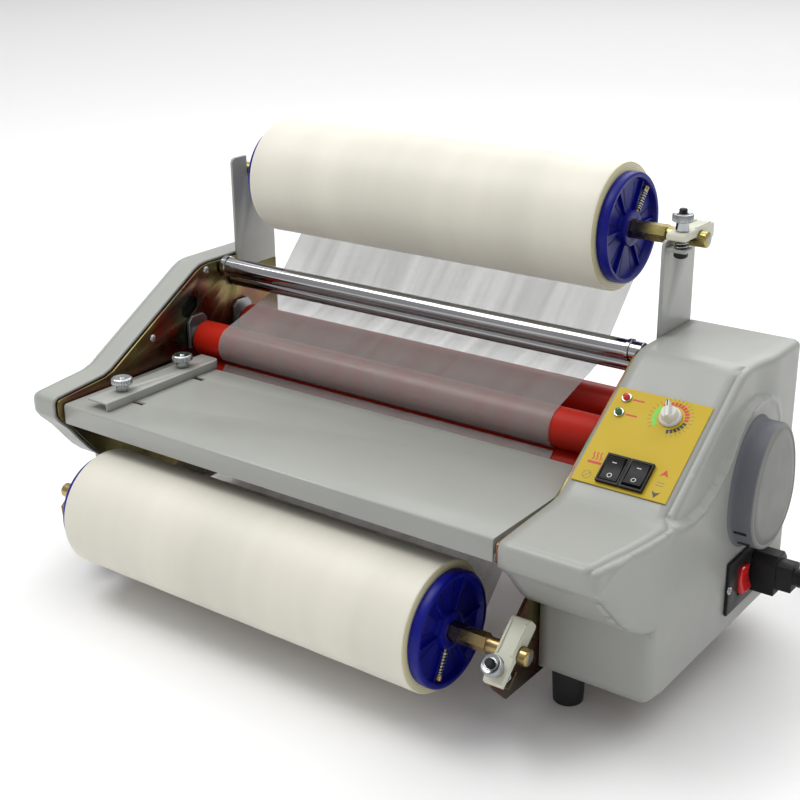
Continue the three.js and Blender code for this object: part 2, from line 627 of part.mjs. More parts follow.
// ---------------------------------------------------------------- threaded film
// A closed band of one thickness along a (y, z) path.
function ribbon(path, thickness) {
  const side = (sign) => path.map(([y, z], i) => {
    const a = path[Math.max(0, i - 1)];
    const b = path[Math.min(path.length - 1, i + 1)];
    const reach = (sign * thickness) / 2 / Math.hypot(b[0] - a[0], b[1] - a[1]);
    return [y - (b[1] - a[1]) * reach, z + (b[0] - a[0]) * reach];
  });
  return [...side(1), ...side(-1).reverse()];
}

function filmWebs() {
  const thickness = 0.6;
  const off = thickness / 2 + 0.5;
  const upperPath = [
    ...arc(TOP_ROLL.y, TOP_ROLL.z, TOP_ROLL.radius + off, -34, -43.6, 2),
    ...arc(LOWER_BAR.y, LOWER_BAR.z, LOWER_BAR.radius + off, -43.6, -73.1, 3),
    ...arc(ROLLER.frontY, ROLLER.upperZ, ROLLER_RADIUS + off, 106.9, 254, 12),
  ];
  add("upper_film_web", alongX(ribbon(upperPath, thickness), 1, FILM_LENGTH - 1), FILM);
  const lowerPath = [
    ...arc(BOTTOM_ROLL.y, BOTTOM_ROLL.z, BOTTOM_ROLL.radius + off, -53.6, -43.6, 2),
    [-88, 145.2],
  ];
  add("lower_film_web", alongX(ribbon(lowerPath, thickness), 1, FILM_LENGTH - 1), FILM);
}

// ---------------------------------------------------------------- control panel
const SLOPE_ANGLE = Math.atan2(SLOPE_HIGH[1] - SLOPE_LOW[1], SLOPE_HIGH[0] - SLOPE_LOW[0]);

// Moves a piece built with x across, y up the slope and z out of it onto the slope.
function onSlope(geometry, x, up) {
  const y = SLOPE_LOW[0] + up * Math.cos(SLOPE_ANGLE);
  const z = SLOPE_LOW[1] + up * Math.sin(SLOPE_ANGLE);
  return geometry.rotateX(SLOPE_ANGLE).translate(x, y, z);
}

function switchOpening() {
  const { x, up, length } = SWITCHES;
  const half = length / 2 - 0.9;
  return onSlope(box([x[0] - 7.9, x[1] + 7.9], [-half, half], [-12, 12]), 0, up);
}
function knobOpening() {
  return onSlope(rodZ(4, -12, 12, 16), KNOB.x, KNOB.up);
}
function lampOpenings() {
  return Object.values(LAMPS).map(([x, up]) => onSlope(rodZ(2.6, -12, 12, 16), x, up));
}

function controlPanel() {
  const { from, to, low, high, sheet } = PANEL;
  const plate = onSlope(box([from, to], [low, high], [GAP, GAP + sheet]), 0, 0);
  add("control_panel", cut(plate, switchOpening(), knobOpening(), ...lampOpenings()), YELLOW);
  const face = GAP + sheet;
  const skirt = turnedZ([[-6, 0], [-6, 3], [face + GAP, 3], [face + GAP, 7.8], [4.2, 7.4], [4.2, 0]]);
  const wing = box([-1.8, 1.8], [-7, 7], [4, 13]);
  const knob = join(skirt, turnedZ([[4, 0], [4, 6], [9, 5.2], [9, 0]]), wing);
  add("dial_knob", onSlope(knob.rotateZ(THREE.MathUtils.degToRad(KNOB.turned)), KNOB.x, KNOB.up), GREY_KNOB);
  const lamp = [
    [-8, 0], [-8, 2.2], [face + GAP, 2.2], [face + GAP, 3.2], [face + 1.4, 3.2], [face + 2.4, 2.6], [face + 4.4, 1.6],
    [face + 5, 0],
  ];
  add("red_lamp", onSlope(turnedZ(lamp, 16), ...LAMPS.red), RED_LENS);
  add("green_lamp", onSlope(turnedZ(lamp, 16), ...LAMPS.green), GREEN_LENS);
}

function switches() {
  const [a, b] = SWITCHES.x;
  const { up, width, length } = SWITCHES;
  const face = GAP + PANEL.sheet;
  const halfWidth = width / 2;
  const half = length / 2;
  const top = face + 2.4;
  const bezel = box([a - halfWidth, b + halfWidth], [-half, half], [face + GAP, top]);
  const body = box([a - 7.6, b + 7.6], [-half + 1.2, half - 1.2], [-11, face + 1]);
  const wells = [a, b].map((x) => onSlope(box([x - 6.8, x + 6.8], [-half + 1.9, half - 1.9], [-8, 8]), 0, up));
  add("switch_housing", cut(onSlope(join(bezel, body), 0, up), ...wells), BLACK);
  add("heat_rocker", onSlope(rocker(6.4, 8.7, top, 9), a, up), BLACK);
  add("run_rocker", onSlope(rocker(6.4, 8.7, top, 0), b, up), BLACK);
}

// A rocker across x, hinged below the top of its bezel and tipped by some degrees.
const ROCKER_DEPTH = 3.5;
function rocker(halfWidth, halfLength, top, tip) {
  const section = [
    [-halfLength + 2, -2.5], [halfLength - 2, -2.5], [halfLength, 2], [halfLength - 0.6, 5.4], [0, 3.9],
    [-halfLength + 0.6, 5.4], [-halfLength, 2],
  ];
  return alongX(section, -halfWidth, halfWidth)
    .rotateX(THREE.MathUtils.degToRad(tip))
    .translate(0, 0, top - ROCKER_DEPTH);
}

// ---------------------------------------------------------------- mains inlet and lead
function mainsInlet() {
  const { y, z, width, height, rockerY } = INLET;
  const face = RIGHT_SIDE + GAP;
  const flange = box([face, face + 2.5], [y - width / 2, y + width / 2], [z - height / 2, z + height / 2]);
  const body = box([425, face + 1], [y - 27, y + 27], [z - 14, z + 14]);
  const well = box([438, 460], [rockerY - 7, rockerY + 7], [z - 10.5, z + 10.5]);
  const socket = box([433, 460], [CONNECTOR.y - 8.3, CONNECTOR.y + 8.3], [z - 12.3, z + 12.3]);
  add("power_inlet", cut(join(flange, body), well, socket), BLACK);
  // Built as a rocker across x, then stood up in the wall so that it faces +x.
  const button = rocker(6.4, 9.4, ROCKER_DEPTH, -8).rotateX(Math.PI / 2).rotateZ(Math.PI / 2);
  add("power_rocker", button, RED_LENS, [face + 2.5 - 2, rockerY, z]);
}

function mainsLead() {
  const { y, bootEnd } = CONNECTOR;
  const { z } = INLET;
  const start = RIGHT_SIDE + 2 * GAP + 2.5;
  const grip = [[-10.5, -14.5], [10.5, -14.5], [10.5, 9], [5.5, 14.5], [-5.5, 14.5], [-10.5, 9]];
  const connector = join(
    box([436, start + 1], [y - 7.6, y + 7.6], [z - 11.6, z + 11.6]),
    alongX(grip, start, 471).translate(0, y, z),
    alongX([[-7.5, -10], [7.5, -10], [7.5, 8], [4, 10], [-4, 10], [-7.5, 8]], 470, 482).translate(0, y, z),
    turnedX([[481, 0], [481, 6.6], [bootEnd, 4.6], [bootEnd, 0]], 16).translate(0, y, z),
  );
  add("mains_connector", connector, BLACK);

  const route = new THREE.CatmullRomCurve3(CORD_ROUTE.map((point) => new THREE.Vector3(...point)));
  const section = outline(arc(0, 0, CORD_RADIUS, 0, 324, 9));
  const tube = new THREE.ExtrudeGeometry(section, { steps: 9, extrudePath: route, bevelEnabled: false });
  add("mains_cord", tube, BLACK);

  const { inner, outer, height } = COIL;
  const ring = [[GAP, inner], [GAP, outer], [height, outer], [height, inner], [GAP, inner]];
  add("mains_coil", turnedZ(ring, 28), BLACK, [COIL.x, COIL.y, 0]);
}

function mainsPlug() {
  const { bootFrom, y, z } = PLUG;
  const boot = turnedX([[-bootFrom, 0], [-bootFrom, 4.6], [-bootFrom + 41, 7.5], [-bootFrom + 41, 0]], 16);
  const face = bootFrom - 78;
  const body = [[0, -18], [38, -9], [38, 9], [0, 18]].map(([x, v]) => [x + face, v]);
  const pins = [-9.5, 9.5].map((v) => rodX(2.4, face - 19, face + 1, 12).translate(0, v, 0));
  const parts = [boot.rotateZ(Math.PI), alongZ(body, -10.8, 10.8), ...pins];
  add("mains_plug", join(...parts), BLACK, [0, y, z]);
}

leftCover();
rightCover();
sidePlates();
rearPanel();
feet();
feedTable();
paperGuide();
rollers();
driveAndMotor();
pressureFrames();
guideBars();
for (const roll of [TOP_ROLL, BOTTOM_ROLL]) {
  filmRoll(roll);
  brake(roll);
}
brackets();
filmWebs();
controlPanel();
switches();
mainsInlet();
mainsLead();
mainsPlug();

machine.name = "roll_laminator";
machine.position.set(-CENTRE_X, -CENTRE_Y, 0);
const laminator = new THREE.Group();
laminator.add(machine);
export default laminator;
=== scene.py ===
"""A desktop roll laminator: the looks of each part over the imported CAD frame.

Sizes are in millimetres on the machine's own datum (x = 0 at the film's left end, y = 0 at the
top film roll's axis, z = 0 on the floor) and at() turns them into the frame's metres.
"""
from math import atan2, ceil, cos, exp, hypot, pi, radians, sin, sqrt
from types import SimpleNamespace

import bmesh
import bpy
from mathutils import Matrix, Vector
from mathutils.geometry import delaunay_2d_cdt


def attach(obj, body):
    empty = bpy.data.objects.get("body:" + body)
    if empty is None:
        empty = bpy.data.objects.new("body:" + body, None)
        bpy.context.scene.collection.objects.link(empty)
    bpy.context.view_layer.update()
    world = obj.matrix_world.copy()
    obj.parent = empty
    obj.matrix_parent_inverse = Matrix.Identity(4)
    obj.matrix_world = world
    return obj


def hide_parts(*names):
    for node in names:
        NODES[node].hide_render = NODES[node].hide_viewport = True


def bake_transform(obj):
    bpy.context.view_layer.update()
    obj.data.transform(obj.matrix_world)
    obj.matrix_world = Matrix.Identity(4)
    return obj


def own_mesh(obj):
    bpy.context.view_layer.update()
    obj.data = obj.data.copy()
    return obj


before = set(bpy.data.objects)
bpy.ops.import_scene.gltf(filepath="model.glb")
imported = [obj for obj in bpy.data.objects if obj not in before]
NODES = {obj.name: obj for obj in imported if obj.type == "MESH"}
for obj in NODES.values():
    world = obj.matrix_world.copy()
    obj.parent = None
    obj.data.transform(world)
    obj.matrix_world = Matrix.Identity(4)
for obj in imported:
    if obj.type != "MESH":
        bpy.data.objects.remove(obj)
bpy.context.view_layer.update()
MM = 0.001


def at(x, y, z):
    return Vector(((x - 198.5) * MM, (y + 112.5) * MM, z * MM))


def link(thing):
    bpy.context.scene.collection.objects.link(thing)


# ---- driving dimensions (mm)
FILM_LENGTH = 320
TOP = SimpleNamespace(name="top", y=0, z=290, radius=47, turn=0, body="top_roll")
BOTTOM = SimpleNamespace(name="bottom", y=-226, z=68, radius=46, turn=42, body="bottom_roll")
ROLLER = SimpleNamespace(left=-29, right=352, radius=14.7, front=-80, rear=-23.87, low=131, high=161)
UPPER_BAR = SimpleNamespace(y=-40, z=213.7, radius=7.3)
LOWER_BAR = SimpleNamespace(y=-29.5, z=200.2, radius=6.5)
BRAKE = SimpleNamespace(x=374, y=-16, left=366.5, right=380.5, front=-25, rear=22, top=8)
JOURNAL = 5.8
SLOPE_LOW = (-154, 154)
SLOPE_ANGLE = atan2(219.2 - 154, 154 - 60)
KNOB = SimpleNamespace(x=412.2, up=70.2, turned=20)
BOSS = SimpleNamespace(y=-43, z=131, radius=36.5, top=54, face=467)
SIDE_X = 450
TROUGH = 4.6  # depth of the hollow between the slope and its rim
COVER_WALL = 2.2
SWITCHES = (("heat", 393.4, 9), ("run", 410.7, 0))  # name, x, tip in degrees
SWITCH_UP = 20.9
PIVOT_OUT = 0.2  # the rockers' hinge line over the slope


# ---- camera
def place_camera():
    yaw, pitch, roll = radians(36.926), radians(21.288), radians(-0.714)
    right = Vector((cos(yaw), sin(yaw), 0))
    forward = Vector((-sin(yaw) * cos(pitch), cos(yaw) * cos(pitch), -sin(pitch)))
    up = right.cross(forward)
    turned_right = cos(roll) * right + sin(roll) * up
    turned_up = -sin(roll) * right + cos(roll) * up
    rows = Matrix((turned_right, turned_up, -forward)).transposed().to_4x4()
    rows.translation = at(781.3, -883.8, 541.5)
    data = bpy.data.cameras.new("camera")
    data.sensor_width = 36
    data.lens = 62.93
    camera = bpy.data.objects.new("camera", data)
    camera.matrix_world = rows
    link(camera)
    bpy.context.scene.camera = camera


place_camera()


# ---- materials
class Shader:
    """A Principled material with helpers to add the nodes that vary it."""

    def __init__(self, name, colour, roughness, metallic=0.0):
        self.material = bpy.data.materials.new(name)
        self.material.use_nodes = True
        self.nodes = self.material.node_tree.nodes
        self.links = self.material.node_tree.links
        self.principled = self.nodes["Principled BSDF"]
        self.set("Base Color", (*colour, 1))
        self.set("Roughness", roughness)
        self.set("Metallic", metallic)
        self.coords = self.nodes.new("ShaderNodeTexCoord").outputs["Object"]

    def set(self, socket, value):
        self.principled.inputs[socket].default_value = value

    def add(self, kind, values):
        node = self.nodes.new("ShaderNode" + kind)
        for socket, value in values.items():
            node.inputs[socket].default_value = value
        return node

    def mapped(self, scale, location=(0, 0, 0)):
        node = self.add("Mapping", {"Scale": scale, "Location": location})
        self.links.new(self.coords, node.inputs["Vector"])
        return node.outputs["Vector"]

    def noise(self, scale, detail=3.0, vector=None):
        node = self.add("TexNoise", {"Scale": scale, "Detail": detail})
        self.links.new(vector or self.coords, node.inputs["Vector"])
        return node.outputs["Fac"]

    def ramp(self, value, stops):
        node = self.nodes.new("ShaderNodeValToRGB")
        elements = node.color_ramp.elements
        while len(elements) < len(stops):
            elements.new(0.5)
        for element, (place, colour) in zip(elements, stops):
            element.position = place
            element.color = (*colour, 1)
        self.links.new(value, node.inputs["Fac"])
        return node.outputs["Color"]

    def spread(self, value, low, high):
        node = self.add("MapRange", {"From Min": 0.3, "From Max": 0.7, "To Min": low, "To Max": high})
        self.links.new(value, node.inputs["Value"])
        return node.outputs["Result"]

    def drive(self, socket, value):
        self.links.new(value, self.principled.inputs[socket])

    def bump(self, value, strength, distance):
        node = self.add("Bump", {"Strength": strength, "Distance": distance})
        self.links.new(value, node.inputs["Height"])
        self.links.new(node.outputs["Normal"], self.principled.inputs["Normal"])


def shade(colour, factor):
    return tuple(min(1.0, c * factor) for c in colour)


def moulded(name, colour, roughness, grain=1500, bump=0.15, spread=0.05, metallic=0.0, coat=0.0, mottle=0.06):
    """Paint or plastic: a fine surface grain and slow, slight changes of tone and gloss."""
    made = Shader(name, colour, roughness, metallic)
    slow = made.noise(14, 3)
    made.drive("Base Color", made.ramp(slow, [(0.3, shade(colour, 1 - mottle)), (0.7, shade(colour, 1 + mottle))]))
    made.drive("Roughness", made.spread(made.noise(60, 4), roughness - spread, roughness + spread))
    made.bump(made.noise(grain, 2), bump, 0.0001)
    if coat:
        made.set("Coat Weight", coat)
        made.set("Coat Roughness", 0.12)
    return made.material


def brushed(name, colour, roughness, along=(1, 40, 40), tint=None):
    """Metal with fine lines across its length, and a slow change of tint."""
    made = Shader(name, colour, roughness, 1.0)
    slow = made.noise(25, 3)
    other = tint or shade(colour, 0.85)
    made.drive("Base Color", made.ramp(slow, [(0.35, colour), (0.65, other)]))
    lines = made.noise(60, 4, made.mapped(along))
    made.drive("Roughness", made.spread(lines, max(0.03, roughness - 0.08), roughness + 0.1))
    made.bump(lines, 0.06, 0.0001)
    return made.material


PLATE_TINTS = ((0.2, 0.19, 0.08), (0.34, 0.28, 0.11), (0.3, 0.13, 0.09), (0.12, 0.19, 0.11))
SHAFT_TINTS = ((0.26, 0.23, 0.08), (0.42, 0.35, 0.13), (0.38, 0.27, 0.13), (0.3, 0.27, 0.1))


def zinc(name, tints, level=1.0, roughness=0.3):
    """Yellow zinc plating, which runs from olive and straw to rose and green."""
    made = Shader(name, (0.5, 0.44, 0.2), roughness, 1.0)
    slow = made.noise(16, 2)
    stops = [(place, shade(colour, level)) for place, colour in zip((0.3, 0.44, 0.55, 0.7), tints)]
    made.drive("Base Color", made.ramp(slow, stops))
    made.drive("Roughness", made.spread(made.noise(90, 3), roughness - 0.06, roughness + 0.08))
    made.bump(made.noise(140, 2), 0.05, 0.0001)
    return made.material


def wound_film(name, colour, roughness):
    """The outside of a film roll: pearl gloss with faint bands round it."""
    made = Shader(name, colour, roughness)
    bands = made.noise(1, 5, made.mapped((260, 6, 6)))
    wide = made.noise(1, 3, made.mapped((22, 3, 3)))
    made.drive("Base Color", made.ramp(wide, [(0.3, shade(colour, 0.93)), (0.7, shade(colour, 1.05))]))
    made.drive("Roughness", made.spread(bands, roughness - 0.06, roughness + 0.08))
    made.bump(made.noise(1, 3, made.mapped((40, 14, 14))), 0.12, 0.0004)
    made.set("Coat Weight", 0.1)
    made.set("Coat Roughness", 0.3)
    made.set("Specular IOR Level", 0.35)
    made.set("Subsurface Weight", 0.15)
    made.set("Subsurface Radius", (0.01, 0.008, 0.005))
    made.set("Subsurface Scale", 0.5)
    return made.material


def film_edge(name, roll):
    """The end of a film roll: its turns as fine rings, yellowed by their depth."""
    made = Shader(name, (0.75, 0.7, 0.42), 0.4)
    centre = at(0, roll.y, roll.z)
    wave = made.add("TexWave", {"Scale": 220, "Distortion": 1.5})
    wave.wave_type = "RINGS"
    wave.rings_direction = "X"
    made.links.new(made.mapped((1, 1, 1), -centre), wave.inputs["Vector"])
    made.drive("Base Color", made.ramp(wave.outputs["Fac"], [(0.2, (0.55, 0.5, 0.26)), (0.8, (0.78, 0.74, 0.5))]))
    made.bump(wave.outputs["Fac"], 0.15, 0.0002)
    made.set("Coat Weight", 0.3)
    return made.material


def clear_film(name, alpha):
    made = Shader(name, (0.33, 0.33, 0.32), 0.25)
    streaks = made.noise(1, 4, made.mapped((90, 5, 5)))
    made.drive("Alpha", made.spread(streaks, alpha - 0.05, alpha + 0.05))
    made.drive("Roughness", made.spread(made.noise(30, 3), 0.16, 0.3))
    made.bump(made.noise(1, 2, made.mapped((9, 30, 30))), 0.1, 0.0005)
    made.set("Specular IOR Level", 0.25)
    return made.material


PAINT_COLOUR = (0.335, 0.343, 0.318)
PAINT = moulded("cover_paint", PAINT_COLOUR, 0.42, grain=900, bump=0.12, mottle=0.02, coat=0.15)
BOSS_FACE = moulded("boss_face", (0.19, 0.194, 0.182), 0.48, grain=900, bump=0.12, mottle=0.03)
# The boss wall's dark bluish colour is painted shade for the shadow the wall stands in beside the cover.
BOSS_WALL_SHADE = moulded("boss_wall_painted_shade", (0.115, 0.12, 0.14), 0.5, grain=900, bump=0.12, mottle=0.05)
SHEET_PAINT = moulded("sheet_paint", PAINT_COLOUR, 0.38, grain=700, bump=0.12, mottle=0.02, coat=0.2)
# The side plates' zinc is its tints scaled to 0.6: darkened as painted shade for the shadow the plates stand in.
PLATE_ZINC_SHADE = zinc("yellow_zinc", PLATE_TINTS, 0.6)
ZINC_BAR = zinc("shaft_zinc", SHAFT_TINTS, 1.1, 0.25)
STEEL = brushed("machined_steel", (0.33, 0.33, 0.33), 0.3)
BRIGHT = brushed("bright_hardware", (0.5, 0.52, 0.53), 0.2, (40, 40, 1))
CHROME = brushed("guide_chrome", (0.42, 0.42, 0.43), 0.1, (1, 8, 8), (0.38, 0.38, 0.4))
SPRING = brushed("spring_steel", (0.4, 0.4, 0.42), 0.3)
MOTOR = brushed("motor_steel", (0.34, 0.34, 0.35), 0.4)
SILICONE = moulded("silicone", (0.42, 0.014, 0.005), 0.38, grain=1200, bump=0.1, mottle=0.08)
BLUE = moulded("blue_plastic", (0.002, 0.004, 0.2), 0.36, grain=500, bump=0.08, coat=0.04, mottle=0.1)
# Near-black blue for the hub slots: painted shade on thin bars where grooves in the dish would be.
HUB_SLOT_SHADE = moulded("hub_slot_painted_shade", (0.001, 0.002, 0.06), 0.6, grain=500, bump=0.08, mottle=0.1)
NYLON = moulded("nylon", (0.62, 0.63, 0.52), 0.42, grain=800, bump=0.1, mottle=0.05)
for socket, value in (("Subsurface Weight", 0.2), ("Subsurface Scale", 0.003)):
    NYLON.node_tree.nodes["Principled BSDF"].inputs[socket].default_value = value
BLACK = moulded("moulded_black", (0.012, 0.012, 0.013), 0.42, grain=2200, bump=0.3, mottle=0.1)
RUBBER = moulded("black_rubber", (0.01, 0.01, 0.011), 0.6, grain=1800, bump=0.25, mottle=0.15)
YELLOW = moulded("panel_yellow", (0.52, 0.37, 0.02), 0.45, grain=1500, bump=0.08, mottle=0.02)
GREY = moulded("knob_grey", (0.62, 0.62, 0.58), 0.38, grain=1600, bump=0.1, mottle=0.03)
RED_LENS = moulded("red_lens", (0.62, 0.008, 0.01), 0.15, grain=300, bump=0.03, coat=0.8)
GREEN_LENS = moulded("green_lens", (0.01, 0.13, 0.04), 0.15, grain=300, bump=0.03, coat=0.8)
RED_PRINT, BLACK_PRINT, GREEN_PRINT, OLIVE_PRINT, WHITE_PRINT = (
    moulded(ink + "_print", colour, 0.45, bump=0.05)
    for ink, colour in (("red", (0.5, 0.02, 0.01)), ("black", (0.02, 0.02, 0.02)), ("green", (0.1, 0.6, 0.05)),
                        ("olive", (0.28, 0.22, 0.03)), ("white", (0.6, 0.6, 0.6)))
)
for matt in (YELLOW, BLUE, HUB_SLOT_SHADE, SILICONE, BLACK):
    matt.node_tree.nodes["Principled BSDF"].inputs["Specular IOR Level"].default_value = 0.22
# Near-black for the boss vents: painted shade in place of the vent openings.
VENT_SHADE = moulded("vent_painted_shade", (0.004, 0.004, 0.004), 0.7)
FILM = wound_film("film_roll", (0.72, 0.695, 0.61), 0.5)
WEB = clear_film("film_web", 0.38)


def finish_piece(piece, material, body, replaced=(), sharp=35):
    piece.data.materials.append(material)
    piece.data.shade_smooth()
    piece.data.set_sharp_from_angle(angle=radians(sharp))
    if body:
        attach(piece, body)
    if replaced:
        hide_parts(*replaced)
    return piece


def new_piece(name, points, faces, material, body, replaced=(), sharp=35):
    """A mesh piece from datum points in millimetres."""
    mesh = bpy.data.meshes.new(name)
    mesh.from_pydata([at(*p) for p in points], [], faces)
    work = bmesh.new()
    work.from_mesh(mesh)
    bmesh.ops.remove_doubles(work, verts=work.verts, dist=1e-7)
    bmesh.ops.recalc_face_normals(work, faces=work.faces)
    work.to_mesh(mesh)
    work.free()
    piece = bpy.data.objects.new(name, mesh)
    link(piece)
    return finish_piece(piece, material, body, replaced, sharp)


def bevelled(piece, width, segments=2, angle=30):
    modifier = piece.modifiers.new("bevel", "BEVEL")
    modifier.width = width * MM
    modifier.segments = segments
    modifier.limit_method = "ANGLE"
    modifier.angle_limit = radians(angle)
    modifier.harden_normals = True
    return piece


def dress(node, material, width=0.0, segments=2):
    """Gives a CAD node its material, joined corners and a small edge radius."""
    part = NODES[node]
    part.data.materials.clear()
    part.data.materials.append(material)
    for face in part.data.polygons:
        face.use_smooth = True
    weld = part.modifiers.new("weld", "WELD")
    weld.merge_threshold = 1e-6
    if width:
        bevelled(part, width, segments)
    else:
        split = part.modifiers.new("split", "EDGE_SPLIT")
        split.split_angle = radians(30)


def ring_faces(rings, count, closed=True):
    """Faces between rings of count points; closed joins the last point to the first."""
    faces = []
    for i in range(rings - 1):
        for j in range(count if closed else count - 1):
            k = (j + 1) % count
            faces.append((i * count + j, i * count + k, (i + 1) * count + k, (i + 1) * count + j))
    return faces


def prism_faces(n, base=0):
    """Two ends of n points and the n walls between them."""
    faces = [tuple(base + i for i in range(n)), tuple(base + n + i for i in reversed(range(n)))]
    return faces + [(base + i, base + (i + 1) % n, base + n + (i + 1) % n, base + n + i) for i in range(n)]


def turned(name, profile, centre, material, body, replaced=(), segments=96, axis="x", wobble=None, closed=False,
           sharp=35):
    """A surface of revolution through [along, radius] pairs; wobble(angle, radius) adds to a radius."""
    y0, z0 = centre[1], centre[2]
    points = []
    rows = profile + [profile[0]] if closed else profile
    for along, radius in rows:
        for j in range(segments):
            angle = 2 * pi * j / segments
            r = radius + (wobble(angle, radius) if wobble else 0)
            if axis == "x":
                points.append((centre[0] + along, y0 + r * cos(angle), z0 + r * sin(angle)))
            else:
                points.append((centre[0] + r * cos(angle), y0 + r * sin(angle), z0 + along))
    faces = ring_faces(len(rows), segments)
    return new_piece(name, points, faces, material, body, replaced, sharp)


def moved(piece, transform):
    piece.data.transform(transform)
    return piece


def about(point, angle, axis):
    """A turn about a datum point, in the frame's metres."""
    centre = at(*point)
    return Matrix.Translation(centre) @ Matrix.Rotation(angle, 4, axis) @ Matrix.Translation(-centre)


def arc(u, v, radius, start, end, steps):
    return [
        (u + radius * cos(radians(start + (end - start) * i / steps)),
         v + radius * sin(radians(start + (end - start) * i / steps)))
        for i in range(steps + 1)
    ]


def prism_x(name, outline, x0, x1, material, body, replaced=(), bevel=0.0):
    """A (y, z) outline between two x values."""
    n = len(outline)
    points = [(x0, y, z) for y, z in outline] + [(x1, y, z) for y, z in outline]
    piece = new_piece(name, points, prism_faces(n), material, body, replaced)
    return bevelled(piece, bevel) if bevel else piece


# ---- mains lead
CORD_ROUTE = [
    (512.3, -29, 69), (518, -29, 69), (526.3, -29, 67.9), (534, -29, 64.7), (540.6, -29, 59.6), (545.7, -29, 53),
    (548.9, -29, 45.3), (550, -29, 37), (550, -29, 35.8), (550.9, -28.5, 27.5), (553.7, -26.9, 19.8),
    (558.1, -24.3, 13.2), (563.9, -21, 8.1), (570.5, -17.2, 4.9), (577.7, -13, 3.8),
]
COIL = SimpleNamespace(x=577.4, y=41.5, outer=47.4, pitch=7.3, low=3.95, enters=-60, turned=1950)


def coil_point(turned):
    """A point of the coil after that many degrees: three turns inwards, then three outwards on top."""
    def step(start):
        return min(1.0, max(0.0, (turned - start) / 60))
    inwards = step(300) + step(660)
    outwards = step(1080 + 180) + step(1440 + 180)
    radius = COIL.outer - COIL.pitch * (inwards - outwards)
    angle = radians(COIL.enters + turned)
    height = COIL.low + COIL.pitch * step(720 + 240)
    return (COIL.x + radius * cos(angle), COIL.y + radius * sin(angle), height)


def smooth_route(points):
    """The listed route with two points between each pair, on a Catmull-Rom curve."""
    vectors = [Vector(p) for p in points]
    out = []
    for i in range(len(vectors) - 1):
        a, b, c, d = (vectors[max(0, min(len(vectors) - 1, i + k))] for k in (-1, 0, 1, 2))
        for t in (0, 1 / 3, 2 / 3):
            bend, twist = 2 * a - 5 * b + 4 * c - d, 3 * b - a - 3 * c + d
            out.append(0.5 * (2 * b + (c - a) * t + bend * t**2 + twist * t**3))
    return out + [vectors[-1]]


def mains_lead():
    route = smooth_route(CORD_ROUTE)
    route += [Vector((577.7 + 11.7, -13 + 6.75, 3.9))]
    route += [Vector(coil_point(10 * i)) for i in range(COIL.turned // 10 + 1)]
    route += [Vector((563, 88.9, 11.2)), Vector((549.2, 88.9, 11.1))]
    data = bpy.data.curves.new("mains_cord_run", "CURVE")
    data.dimensions = "3D"
    data.bevel_depth = 3.5 * MM
    data.bevel_resolution = 4
    data.use_fill_caps = True
    spline = data.splines.new("POLY")
    spline.points.add(len(route) - 1)
    for point, place in zip(spline.points, route):
        point.co = (*at(*place), 1)
    cord = bpy.data.objects.new("mains_cord_run", data)
    link(cord)
    data.materials.append(RUBBER)
    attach(cord, "machine")
    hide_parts("mains_cord", "mains_coil")


mains_lead()


# ---- moulded side covers
LEFT_OUTLINE = [
    (28, 32), (28, 218), (27.6, 220.2), (26.2, 221.6), (24, 222), (-60, 222), (-68, 221), (-75, 218.2),
    (-170, 162), (-176, 158.6), (-184, 156), (-231, 151.6), (-234.5, 150), (-236, 147), (-236, 136),
    (-233, 131), (-223, 121), (-212, 107), (-205, 98.5), (-197, 91), (-189, 86.5), (-180, 83), (-180, 32),
]
RIGHT_OUTLINE = [
    (28, 32), (28, 218), (27.6, 220.2), (26.2, 221.6), (24, 222), (-46, 222), (-54, 221.3), (-60, 219.2),
    (-154, 154), (-160, 150.8), (-168, 149.6), (-228.5, 146.6), (-231.8, 145), (-233, 142), (-233, 130),
    (-230, 127), (-223, 121), (-212, 107), (-205, 98.5), (-197, 91), (-189, 86.5), (-180, 83), (-180, 32),
]
# The raised rim that sweeps from the nose, under the panel and over the boss, as (y, z) points.
RIM = [
    (-229, 132), (-215, 143), (-190, 150.5), (-171, 151), (-150, 147.5), (-135, 145), (-118, 146.5), (-104, 152),
    (-92, 159.5), (-81, 168), (-71, 181), (-62, 189.5), (-52, 194), (-38, 196), (-22, 193.5), (-9, 186),
    (-2.5, 175), (-1, 160), (-1, 140),
]


def even_loop(outline, step):
    """The closed outline with points no further apart than step, its corners kept."""
    out = []
    for i, (y, z) in enumerate(outline):
        y2, z2 = outline[(i + 1) % len(outline)]
        n = max(1, ceil(hypot(y2 - y, z2 - z) / step))
        out += [(y + (y2 - y) * k / n, z + (z2 - z) * k / n) for k in range(n)]
    return out


def distance_to(line, y, z, closed=False):
    best = 1e9
    count = len(line) if closed else len(line) - 1
    for i in range(count):
        (y0, z0), (y1, z1) = line[i], line[(i + 1) % len(line)]
        dy, dz = y1 - y0, z1 - z0
        t = max(0.0, min(1.0, ((y - y0) * dy + (z - z0) * dz) / (dy * dy + dz * dz)))
        best = min(best, hypot(y - y0 - t * dy, z - z0 - t * dz))
    return best


def inside(outline, y, z):
    found = False
    for i, (y0, z0) in enumerate(outline):
        y1, z1 = outline[(i + 1) % len(outline)]
        if (z0 > z) != (z1 > z) and y < (y1 - y0) * (z - z0) / (z1 - z0) + y0:
            found = not found
    return found


def smooth(t):
    t = max(0.0, min(1.0, t))
    return t * t * (3 - 2 * t)


def plan_edge(y):
    """How far the right cover reaches in x along its length: it narrows towards the nose."""
    stops = [(-236, 435), (-234, 435), (-205, 442), (-185, 447), (-165, 450), (40, 450)]
    for (y0, x0), (y1, x1) in zip(stops, stops[1:]):
        if y <= y1:
            return x0 + (x1 - x0) * (y - y0) / (y1 - y0)
    return SIDE_X


